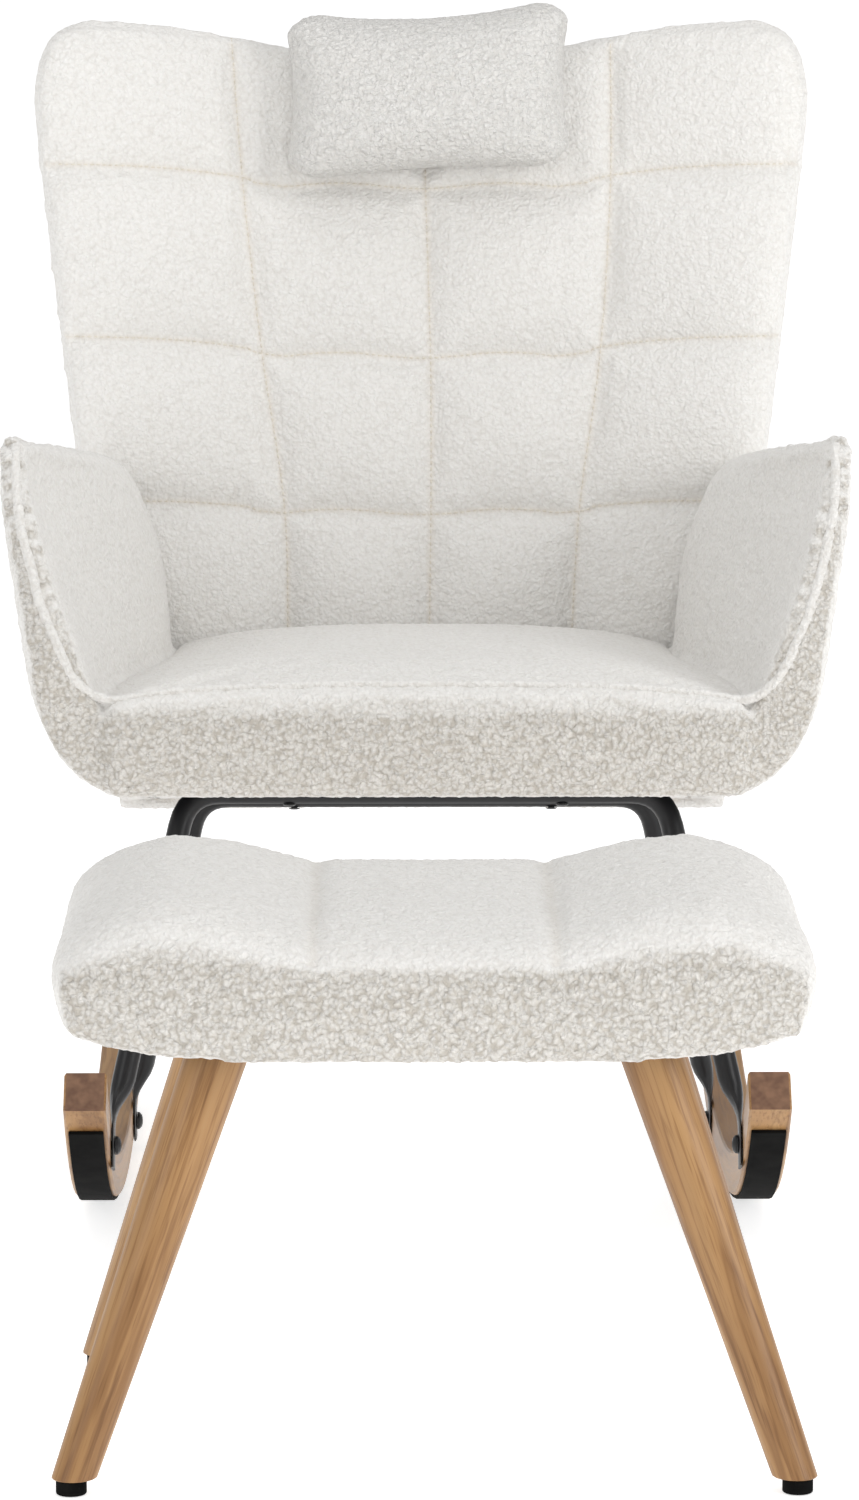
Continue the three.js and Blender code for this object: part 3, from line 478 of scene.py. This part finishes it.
def oak_wood(name, grain_at, end=None):
    """Honey oak under satin lacquer.

    grain_at maps the wood so that its grain runs along Z, and end says where its cut ends are.
    """
    n = Nodes(name, Coat_Weight=0.12, Coat_Roughness=0.3, Specular_IOR_Level=0.35)
    at = grain_at(n)
    bands = n.noise(1.0, detail=3.0, at=n.stretched((26, 26, 1.6), at=at), distortion=1.2)
    pores = n.noise(1.0, detail=2.0, at=n.stretched((420, 420, 14), at=at), rough=0.7)
    fleck = n.noise(1.0, detail=1.0, at=n.stretched((150, 150, 9), at=at))
    rings = n.maths("PINGPONG", n.maths("MULTIPLY", bands, 9.0), 1.0)
    base = n.ramp(bands, toned(OAK_BANDS))
    base = n.blend(0.5, base, n.ramp(rings, OAK_RINGS), "MULTIPLY")
    pored = n.blend(0.55, base, n.ramp(pores, OAK_PORES), "MULTIPLY")
    flecked = n.blend(0.35, pored, n.ramp(fleck, OAK_FLECKS), "MULTIPLY")
    if end is not None:
        flecked = n.blend(end(n), flecked, n.ramp(fleck, toned(OAK_END)))
    roughness = n.maths("MULTIPLY_ADD", pores, 0.22, 0.3)
    normal = n.bump(pores, 0.25, 0.0004, n.bump(bands, 0.12, 0.001))
    return n.done(flecked, roughness, normal)


def along_direction(direction):
    """Maps the wood so that this direction becomes Z."""
    turn = Vector(direction).rotation_difference(Vector((0, 0, 1))).to_euler()
    return lambda n: n.stretched((1, 1, 1), turn=tuple(turn))


def round_the_rocking_axis(n):
    """Maps a bent rocker so that its length becomes Z and its depth becomes Y."""
    centre = Vector((0, *ROCK["pos_m"][1:]))
    parts = n.add("ShaderNodeSeparateXYZ", {0: n.place}).outputs
    y = n.maths("SUBTRACT", parts[1], centre.y)
    z = n.maths("SUBTRACT", centre.z, parts[2])
    radius = n.maths("SQRT", n.maths("ADD", n.maths("MULTIPLY", y, y), n.maths("MULTIPLY", z, z)))
    run = n.maths("MULTIPLY", n.maths("ARCTAN2", y, z), ROCK["pos_m"][2])
    return n.add("ShaderNodeCombineXYZ", {0: parts[0], 1: radius, 2: run}).outputs[0]


ROCKER_TIP = (0.72, -0.69)  # along Y and Z, the way that the cut end at a rocker's tip faces


def rocker_end(n):
    """1 on the cut ends of a rocker, where the grain shows end on."""
    facing = n.add("ShaderNodeTexCoord").outputs["Normal"]
    parts = n.add("ShaderNodeSeparateXYZ", {0: facing}).outputs
    along_z = n.maths("MULTIPLY", parts[2], ROCKER_TIP[1])
    along = n.maths("ABSOLUTE", n.maths("MULTIPLY_ADD", parts[1], ROCKER_TIP[0], along_z))
    return n.ramp(along, [(0.9, (0, 0, 0)), (0.96, (1, 1, 1))])


def black_paint(name):
    n = Nodes(name, Coat_Weight=0.1, Coat_Roughness=0.25, Specular_IOR_Level=0.3)
    speck = n.noise(900, detail=2.0)
    drift = n.noise(18, detail=2.0)
    colour = n.ramp(drift, [(0.3, (0.006, 0.006, 0.007)), (0.7, (0.012, 0.012, 0.013))])
    return n.done(colour, n.maths("MULTIPLY_ADD", speck, 0.18, 0.3), n.bump(speck, 0.12, 0.0002))


def black_rubber(name):
    n = Nodes(name, Specular_IOR_Level=0.05)
    grain = n.noise(1300, detail=2.0)
    dust = n.noise(60, detail=3.0)
    colour = n.ramp(dust, [(0.35, (0.0035, 0.0035, 0.0035)), (0.75, (0.009, 0.009, 0.0085))])
    return n.done(colour, n.maths("MULTIPLY_ADD", grain, 0.2, 0.7), n.bump(grain, 0.3, 0.0003))


def black_felt(name):
    n = Nodes(name, Sheen_Weight=0.15, Specular_IOR_Level=0.1)
    fibres = n.noise(1.0, detail=3.0, at=n.stretched((500, 160, 500)), distortion=2.0)
    dimples = n.cells(420)
    colour = n.ramp(fibres, [(0.3, (0.010, 0.010, 0.011)), (0.7, (0.030, 0.030, 0.032))])
    return n.done(colour, n.maths("MULTIPLY_ADD", fibres, 0.1, 0.86), n.bump(dimples, 0.4, 0.0006))


def ribbed_elastic(name):
    """Black elastic with fine ribs along it."""
    n = Nodes(name, Sheen_Weight=0.1, Specular_IOR_Level=0.15)
    wave = {"Vector": n.place, "Scale": 120.0, "Distortion": 0.4, "Detail": 1.0}
    ribs = n.add("ShaderNodeTexWave", wave).outputs["Fac"]
    fuzz = n.noise(1400, detail=2.0)
    both = n.maths("MULTIPLY_ADD", fuzz, 0.4, n.maths("MULTIPLY", ribs, 0.6))
    colour = n.ramp(both, [(0.2, (0.007, 0.007, 0.008)), (0.8, (0.026, 0.026, 0.028))])
    return n.done(colour, n.maths("MULTIPLY_ADD", fuzz, 0.15, 0.75), n.bump(ribs, 0.5, 0.0006))


def plywood_board(name):
    n = Nodes(name, Specular_IOR_Level=0.3)
    grain = n.noise(1.0, detail=4.0, at=n.stretched((4, 60, 90)), distortion=0.8)
    pores = n.noise(1.0, detail=2.0, at=n.stretched((20, 500, 700)))
    colour = n.ramp(grain, [(0.3, (0.50, 0.34, 0.19)), (0.7, (0.66, 0.49, 0.31))])
    return n.done(colour, n.maths("MULTIPLY_ADD", pores, 0.2, 0.6), n.bump(pores, 0.3, 0.0003))


TEDDY = teddy_cloth("teddy")
TEDDY_PILLOW = teddy_cloth("teddy_pillow", curl=0.0031, relief=1.45)
# A copy of the same cloth, for the pieces whose forward faces carry painted shade.
TEDDY_COARSE_AND_SHADED = teddy_cloth("teddy_coarse")
THREAD = thread_cloth("thread")
STEEL = black_paint("black_steel")
RUBBER = black_rubber("black_rubber")
FELT = black_felt("black_cloth")
ELASTIC = ribbed_elastic("black_elastic")
PLYWOOD = plywood_board("plywood")

# ---- Camera: a long lens in front, a little left of the middle, looking slightly down

CAMERA = {"x": -0.041, "away": 5.1, "height": 1.2, "heading": 0.009, "pitch": math.radians(9.15)}
SENSOR = 36
LENS = 145.2  # millimetres, for a sensor of that height


def camera():
    data = bpy.data.cameras.new("camera")
    data.sensor_width = SENSOR
    data.lens = LENS
    data.clip_end = 50
    obj = bpy.data.objects.new("camera", data)
    obj.location = (CAMERA["x"], CHAIR_Y - CAMERA["away"], CAMERA["height"])
    obj.rotation_euler = (math.pi / 2 - CAMERA["pitch"], 0, -CAMERA["heading"])
    bpy.context.scene.collection.objects.link(obj)
    bpy.context.scene.camera = obj


# ---- The backrest's cushion, sewn into four columns and four rows

COLUMN_SEAMS = [
    [(-0.172, 1.0), (-0.168, 0.96), (-0.158, 0.84), (-0.141, 0.694), (-0.121, 0.559), (-0.118, 0.42)],
    [(0.003, 1.0), (0.004, 0.84), (0.008, 0.694), (0.008, 0.559), (0.006, 0.42)],
    [(0.170, 1.0), (0.169, 0.96), (0.168, 0.84), (0.158, 0.694), (0.139, 0.559), (0.130, 0.42)],
]
ROW_SEAMS = [(0.840, 0.022, 0.32), (0.693, 0.020, 0.305), (0.558, 0.012, 0.26)]  # height, rise, half width
ROW_FLAT = 0.12  # a row's seam starts to rise this far from the middle
ROW_ARCH = {"half": 0.15, "height": 0.0025}  # the two middle columns' own sag
BACK_PUFF = {"height": 0.0060, "width": 0.040}  # how far the filling stands out between seams
BACK_CREASE = {"depth": 0.0046, "width": 0.0085}
BACK_SLOPE = {"depth": 0.0032, "width": 0.022}


def bell(distance, width):
    """1 at no distance, and almost nothing at twice the width."""
    return np.exp(-((distance / width) ** 2))


def row_height(row, x):
    level, rise, half = ROW_SEAMS[row]
    beyond = np.clip((np.abs(x) - ROW_FLAT) / (half - ROW_FLAT), 0, 1)
    arch = np.cos(np.clip(np.abs(x) / ROW_ARCH["half"], 0, 1) * 2 * math.pi)
    sag = ROW_ARCH["height"] * arch * (np.abs(x) < ROW_ARCH["half"])
    return level + rise * (1 - (1 - beyond) ** 2) - sag


def seam_distances(co):
    """How far each point is from the nearest column seam and the nearest row seam, seen from the front."""
    flat = co[:, [0, 2]]
    columns = np.min([line_distance(flat, smooth_line(s, 4)) for s in COLUMN_SEAMS], axis=0)
    rows = np.min([np.abs(co[:, 2] - row_height(r, co[:, 0])) for r in range(len(ROW_SEAMS))], axis=0)
    return columns, rows


def faces_front(obj):
    return smoothstep(-normals(obj)[:, 1], 0.55, 0.9)


def back_cushion():
    obj = merged_copy("back_cushion_cover", ["back_cushion"])
    pushed(obj, np.full(len(obj.data.vertices), -0.002))
    remeshed(obj, voxel=0.0062, rounds=6)
    nearest = np.minimum(*seam_distances(coords(obj)))
    pinned = np.where((faces_front(obj) < 0.1) | (nearest < 0.006), 1.0, 0.0)
    swelled(obj, pinned, pressure=5.0, cap=0.012)
    subdivided(obj)
    co = coords(obj)
    columns, rows = seam_distances(co)
    puff = (1 - bell(columns, BACK_PUFF["width"])) * (1 - bell(rows, BACK_PUFF["width"]))
    crease = np.maximum(bell(columns, BACK_CREASE["width"]), bell(rows, BACK_CREASE["width"]))
    slope = np.maximum(bell(columns, BACK_SLOPE["width"]), bell(rows, BACK_SLOPE["width"]))
    above_seat = smoothstep(co[:, 2], 0.44, 0.50)
    filled = BACK_PUFF["height"] * puff * above_seat
    sewn = BACK_CREASE["depth"] * crease + BACK_SLOPE["depth"] * slope
    pushed(obj, faces_front(obj) * (filled - sewn))
    relaxed(obj, rounds=2)
    curled(obj, height=0.0009, size=0.0052)
    nearest = np.minimum(*seam_distances(coords(obj)))
    # The seam mark is painted shade in each seam's crevice.
    marked(obj, "seam", faces_front(obj) * bell(nearest, 0.0022))
    finished(obj, TEDDY, "chair", "teddy_fabric", "back_cushion")
    return obj


def back_stitching(cushion):
    """The thread in the backrest's seams, laid on the cushion's shown face."""
    tree = surface(cushion)[0]
    ahead, lift = -3, Vector((0, -0.0001, 0))
    paths = [smooth_line(seam, 40) for seam in COLUMN_SEAMS]
    for row, (_, _, half) in enumerate(ROW_SEAMS):
        paths.append([(x, float(row_height(row, x))) for x in np.linspace(-half, half, 200)])
    lines = []
    for path in paths:
        hits = [tree.ray_cast(Vector((x, ahead, z)), Vector((0, 1, 0))) for x, z in path]
        lines.append([hit[0] + lift for hit in hits if hit[0] is not None and hit[1].y <= -0.25])
    obj = stitches("back_stitching", lines, length=0.0042, gap=0.0014, radius=0.0007)
    finished(obj, THREAD, "chair", "teddy_fabric")


def back_cover():
    """The cloth behind the backrest. A copy of the cushion set back in it closes the gap between the two."""
    swell = {"back_cover": 0.0022, "back_cushion": -0.004}
    obj = merged_copy("back_outer_cover", list(swell), swell, {"back_cushion": (0, 0.014, 0)})
    remeshed(obj, voxel=0.0055, rounds=8)
    pinned = np.where(normals(obj)[:, 1] < 0.35, 1.0, 0.0)
    swelled(obj, pinned, pressure=2.0, cap=0.005)
    subdivided(obj)
    curled(obj, height=0.0009, size=0.0052)
    finished(obj, TEDDY, "chair", "teddy_fabric", "back_cover")


# ---- The shell: both arms and the cover under the seat's front edge, in one continuous cloth

ARM_TOP_FILL = 0.007  # how much rounder the filling makes the top of each arm


def shell():
    """One cloth over arms and front. Copies of the panels and the seat cushion in it close the gaps."""
    outside = ["arm_left", "arm_right", "seat_front_cover"]
    inside = ["arm_panel_left", "arm_panel_right", "seat_cushion"]
    swell = dict.fromkeys(["seat_front_cover", "arm_panel_left", "arm_panel_right"], 0.004)
    swell["seat_cushion"] = -0.002
    obj = merged_copy("arm_and_front_cover", outside + inside, swell, {"seat_cushion": (0, 0, -0.006)})
    remeshed(obj, voxel=0.0058, rounds=9)
    pinned = np.where(coords(obj)[:, 2] < 0.43, 1.0, 0.0)
    swelled(obj, pinned, pressure=1.5, cap=0.003)
    subdivided(obj)
    upwards = smoothstep(normals(obj)[:, 2], 0.15, 0.7) * smoothstep(coords(obj)[:, 2], 0.55, 0.62)
    pushed(obj, ARM_TOP_FILL * upwards)
    relaxed(obj, rounds=3)
    # Forward faces get a coarser open pile and painted shade that darkens them.
    brushed_and_shaded = open_and_shaded_to_front(obj)
    curled(obj, height=0.0011 + 0.0007 * brushed_and_shaded, size=0.0048)
    marked(obj, "coarse", brushed_and_shaded)
    finished(obj, TEDDY_COARSE_AND_SHADED, "chair", "teddy_fabric", *outside)
    return obj


WELT_BEYOND = 0.014  # how far outside the top of the arm the piped seam runs
WELT_RADIUS = 0.0041
WELT_SUNK = 0.0008  # how deep its middle lies in the cloth
ARM_TOP_Y = np.linspace(0.10, -0.19, 14)  # along the top of an arm, from the chair's own zero
ARM_TOP_X = np.linspace(0.20, 0.345, 60)  # across it
WELT_ARM_EDGE = [  # down the front edge of an arm, from the chair's own zero
    (0.331, -0.225, 0.655), (0.329, -0.246, 0.612), (0.313, -0.272, 0.55),
    (0.295, -0.290, 0.503), (0.278, -0.296, 0.477),
]
WELT_SEAT_Y = -0.294
WELT_SEAT_EDGE = [  # X and Z across the front of the seat, from an arm to the middle
    (0.252, 0.4665), (0.232, 0.4645), (0.205, 0.4675), (0.162, 0.474),
    (0.117, 0.479), (0.07, 0.481), (0.0, 0.481),
]


def arm_top(tree, y):
    """The highest place of an arm's surface at this Y."""
    above = 1.2
    hits = [tree.ray_cast(Vector((x, y, above)), Vector((0, 0, -1)))[0] for x in ARM_TOP_X]
    return max((hit for hit in hits if hit is not None), key=lambda hit: hit.z)


def welt_line(shell_piece, seat_piece):
    """The piped seam: along the top of each arm, down its front edge and across the front of the seat."""
    both = surface(shell_piece, seat_piece)
    half = []
    for y in ARM_TOP_Y:
        top = arm_top(both[0], y + CHAIR_Y)
        beyond = WELT_BEYOND * float(smoothstep(y, -0.20, -0.08))
        half.append((top.x + beyond, top.y, top.z - beyond * 0.5))
    half += [(x, y + CHAIR_Y, z) for x, y, z in WELT_ARM_EDGE]
    half += [(x, CHAIR_Y + WELT_SEAT_Y, z) for x, z in WELT_SEAT_EDGE]
    line = half + [(-x, y, z) for x, y, z in half[-2::-1]]
    dense = evenly(smooth_line(line, 8), 0.006)
    placed = np.array([on_surface(both, point, -WELT_SUNK) for point in dense])
    for _ in range(6):
        placed[1:-1] = (placed[:-2] + 2 * placed[1:-1] + placed[2:]) / 4
    return placed


def welting(shell_piece, seat_piece):
    line = smooth_line(welt_line(shell_piece, seat_piece), 2)
    obj = tube("seam_piping", line, WELT_RADIUS, sides=12, pulse=0.2)
    subdivided(obj)
    curled(obj, height=0.0007, size=0.0042)
    # A quarter of the forward-face mark: a slightly coarser pile and a little painted shade.
    marked(obj, "coarse", 0.25 * open_and_shaded_to_front(obj))
    finished(obj, TEDDY_COARSE_AND_SHADED, "chair", "teddy_fabric")


# ---- The seat


def seat_cushion():
    obj = merged_copy("seat_cushion_cover", ["seat_cushion"])
    pushed(obj, np.full(len(obj.data.vertices), -0.001))
    remeshed(obj, voxel=0.0058, rounds=5)
    top = normals(obj)[:, 2] > 0.4
    swelled(obj, np.where(top, 0.0, 1.0), pressure=3.0, cap=0.007)
    subdivided(obj)
    relaxed(obj, rounds=2)
    curled(obj, height=0.0009, size=0.0052)
    finished(obj, TEDDY, "chair", "teddy_fabric", "seat_cushion")
    return obj


# ---- The head pillow, which hangs a little askew

PILLOW_LEAN = 0.055  # its rise to the right, as a share of the way
PILLOW_SHIFT = 0.006
# How far the middle of each edge lies inside its corners, as a share of the pillow's half size.
PILLOW_TOP_DIP = 0.11
PILLOW_BOTTOM_DIP = 0.05
PILLOW_SIDE_DIP = 0.04
PILLOW_FILL = 1.035
PILLOW_CORNER = 0.13  # how far each corner is drawn in, as a share of the same


def head_pillow():
    obj = merged_copy("head_pillow_cover", ["head_pillow"])
    remeshed(obj, voxel=0.0042, rounds=14)
    co = coords(obj)
    low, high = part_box("head_pillow")
    middle, half = np.array((low + high) / 2), np.array((high - low) / 2)
    a, b = (co[:, 0] - middle[0]) / half[0], (co[:, 2] - middle[2]) / half[2]
    inwards = PILLOW_FILL - PILLOW_CORNER * smoothstep(a * a * b * b, 0.4, 1.0)
    dip = np.where(b > 0, PILLOW_TOP_DIP, PILLOW_BOTTOM_DIP)
    co[:, 0] = middle[0] + (co[:, 0] - middle[0]) * (inwards - PILLOW_SIDE_DIP * np.clip(1 - b * b, 0, 1))
    co[:, 2] = middle[2] + (co[:, 2] - middle[2]) * (inwards - dip * np.clip(1 - a * a, 0, 1))
    co[:, 2] += PILLOW_LEAN * co[:, 0]
    co[:, 0] += PILLOW_SHIFT
    set_coords(obj, co)
    swelled(obj, np.where(normals(obj)[:, 1] > 0.55, 1.0, 0.0), pressure=3.0, cap=0.006)
    subdivided(obj)
    relaxed(obj, rounds=2)
    curled(obj, height=0.0009, size=0.0050)
    finished(obj, TEDDY_PILLOW, "pillow", "teddy_fabric", "head_pillow")


# ---- The footstool's cushion

STOOL_SEAM_X = 0.085
STOOL_CREASE = {"depth": 0.0034, "width": 0.007}
STOOL_SLOPE = {"depth": 0.0012, "width": 0.022}


def from_stool_seam(obj):
    return np.abs(np.abs(coords(obj)[:, 0]) - STOOL_SEAM_X)


def stool_cushion():
    swell = {"stool_cushion": -0.001, "stool_board": 0.0022}
    obj = merged_copy("stool_cushion_cover", list(swell), swell)
    remeshed(obj, voxel=0.0058, rounds=6)
    low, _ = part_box("stool_cushion")
    on_seam = (from_stool_seam(obj) < 0.006) & (normals(obj)[:, 2] > 0.4)
    pinned = np.where((coords(obj)[:, 2] < low.z + 0.02) | on_seam, 1.0, 0.0)
    swelled(obj, pinned, pressure=3.0, cap=0.007)
    subdivided(obj)
    seam = from_stool_seam(obj)
    top = smoothstep(normals(obj)[:, 2], 0.2, 0.7)
    crease = STOOL_CREASE["depth"] * bell(seam, STOOL_CREASE["width"])
    slope = STOOL_SLOPE["depth"] * bell(seam, STOOL_SLOPE["width"])
    pushed(obj, -top * (crease + slope))
    relaxed(obj, rounds=2)
    # Forward faces get a coarser open pile and painted shade that darkens them.
    brushed_and_shaded = open_and_shaded_to_front(obj)
    curled(obj, height=0.0011 + 0.0009 * brushed_and_shaded, size=0.0050)
    marked(obj, "coarse", brushed_and_shaded)
    # The seam mark here is painted crevice shade on the top.
    marked(obj, "seam", top * 0.5 * bell(seam, 0.0035))
    finished(obj, TEDDY_COARSE_AND_SHADED, "stool", "teddy_fabric", "stool_cushion")


# ---- Hard pieces: finer copies of the CAD nodes, with eased edges and smooth shading


def refined(node, name, material, body, slot, ease=0.0):
    obj = merged_copy(name, [node])
    bm = bmesh.new()
    bm.from_mesh(obj.data)
    bmesh.ops.dissolve_limit(bm, angle_limit=FLAT_EDGE, verts=bm.verts, edges=bm.edges)
    for edge in bm.edges:
        edge.smooth = not (len(edge.link_faces) == 2 and edge.calc_face_angle(0) > SHARP_EDGE)
    for face in bm.faces:
        face.smooth = True
    bm.to_mesh(obj.data)
    bm.free()
    if ease:
        bevel = obj.modifiers.new("bevel", "BEVEL")
        bevel.width = ease
        bevel.segments = 3
        bevel.limit_method = "ANGLE"
        bevel.angle_limit = SHARP_EDGE
        bevel.harden_normals = True
        applied(obj)
    finished(obj, material, body, slot, node)


def leg_direction(node):
    """The way a splayed leg leans, from its ends' middles."""
    co = coords(frame["nodes"][node])
    low, high = co[:, 2].min(), co[:, 2].max()
    slice_height = 0.004
    ends = [co[np.abs(co[:, 2] - z) < slice_height].mean(axis=0) for z in (low, high)]
    return Vector(ends[1] - ends[0]).normalized()


def stool_legs():
    for corner in CORNERS:
        leg, glide, plate = f"stool_leg_{corner}", f"stool_glide_{corner}", f"stool_leg_plate_{corner}"
        wood = oak_wood(f"oak_{leg}", along_direction(leg_direction(leg)))
        refined(leg, f"turned_{leg}", wood, "stool", "oak", ease=0.0012)
        refined(glide, f"moulded_{glide}", RUBBER, "stool", "black_rubber", ease=0.0012)
        refined(plate, f"pressed_stool_plate_{corner}", STEEL, "stool", "black_steel", ease=0.0006)


def chair_base():
    for side in SIDES:
        wood = oak_wood(f"oak_rocker_{side}", round_the_rocking_axis, end=rocker_end)
        refined(f"rocker_{side}", f"bent_rocker_{side}", wood, "chair", "oak")
        refined(f"rocker_strip_{side}", f"ribbed_strip_{side}", RUBBER, "chair", "black_rubber", ease=0.0006)
    for end in ("front", "rear"):
        refined(f"{end}_leg_frame", f"welded_{end}_leg_frame", STEEL, "chair", "black_steel")
        for side in SIDES:
            for kind in ("rocker_bolt", "seat_bolt"):
                refined(f"{kind}_{end}_{side}", f"domed_{kind}_{end}_{side}", STEEL, "chair", "black_steel")


def pillow_holders():
    refined("pillow_strap", "elastic_pillow_strap", ELASTIC, "chair", "black_cloth", ease=0.0005)
    refined("pillow_patch", "stitched_pillow_patch", FELT, "pillow", "black_cloth", ease=0.0004)


def dress_frame():
    """The CAD nodes that stay: each gets the finish of what it is made of."""
    by_slot = {"oak": PLYWOOD, "plywood": PLYWOOD, "black_steel": STEEL}
    by_slot |= {"black_rubber": RUBBER, "black_cloth": FELT, "teddy_fabric": TEDDY}
    slots = {part["node"]: part["material_slot"] for part in frame["record"]["subparts"]}
    for name, obj in frame["nodes"].items():
        obj.data.materials.clear()
        obj.data.materials.append(by_slot[slots[name]])


# ---- Room and light

FLOOR_HALF = 45.0
FLOOR_GLOW = 0.58
FLOOR_BELOW = 0.0005  # how far under the feet the floor lies
SKY_LIGHT = 0.58
LIT_PLACE = (0, 0.2, 0.5)
LAMPS = {  # place, size and power
    "top": ((0, 0.2, 3.4), (3.0, 2.6), 22),
    "front_left": ((-2.8, -3.0, 2.0), (2.0, 2.2), 33),
    "front_right": ((3.0, -2.6, 1.8), (1.8, 2.2), 61),
}


def room():
    mesh = bpy.data.meshes.new("floor")
    corners = [(-1, -1), (1, -1), (1, 1), (-1, 1)]
    mesh.from_pydata([(x * FLOOR_HALF, y * FLOOR_HALF, 0.0) for x, y in corners], [], [(0, 1, 2, 3)])
    floor = link("floor", mesh)
    n = Nodes("pale_floor", Roughness=0.9, Emission_Color=(1, 1, 1, 1), Emission_Strength=FLOOR_GLOW)
    colour = n.ramp(n.noise(3, detail=2.0), [(0.3, (0.88, 0.88, 0.88)), (0.7, (0.9, 0.9, 0.9))])
    floor.data.materials.append(n.done(colour))
    floor.location.z = -FLOOR_BELOW


def lamp(name, place, size, power):
    data = bpy.data.lights.new(name, "AREA")
    data.shape = "RECTANGLE"
    data.size, data.size_y = size
    data.energy = power
    obj = bpy.data.objects.new(name, data)
    obj.location = place
    obj.rotation_euler = (Vector(LIT_PLACE) - Vector(place)).to_track_quat("-Z", "Y").to_euler()
    bpy.context.scene.collection.objects.link(obj)


def lights():
    world = bpy.data.worlds.new("studio")
    world.use_nodes = True
    background = world.node_tree.nodes["Background"]
    background.inputs["Color"].default_value = (1, 1, 1, 1)
    background.inputs["Strength"].default_value = SKY_LIGHT
    bpy.context.scene.world = world
    for name, settings in LAMPS.items():
        lamp(name, *settings)
    view = bpy.context.scene.view_settings
    view.view_transform = "Standard"
    view.look = "None"


camera()
lights()
room()
dress_frame()
cushion_piece = back_cushion()
back_stitching(cushion_piece)
back_cover()
shell_piece = shell()
seat_piece = seat_cushion()
welting(shell_piece, seat_piece)
head_pillow()
stool_cushion()
stool_legs()
chair_base()
pillow_holders()
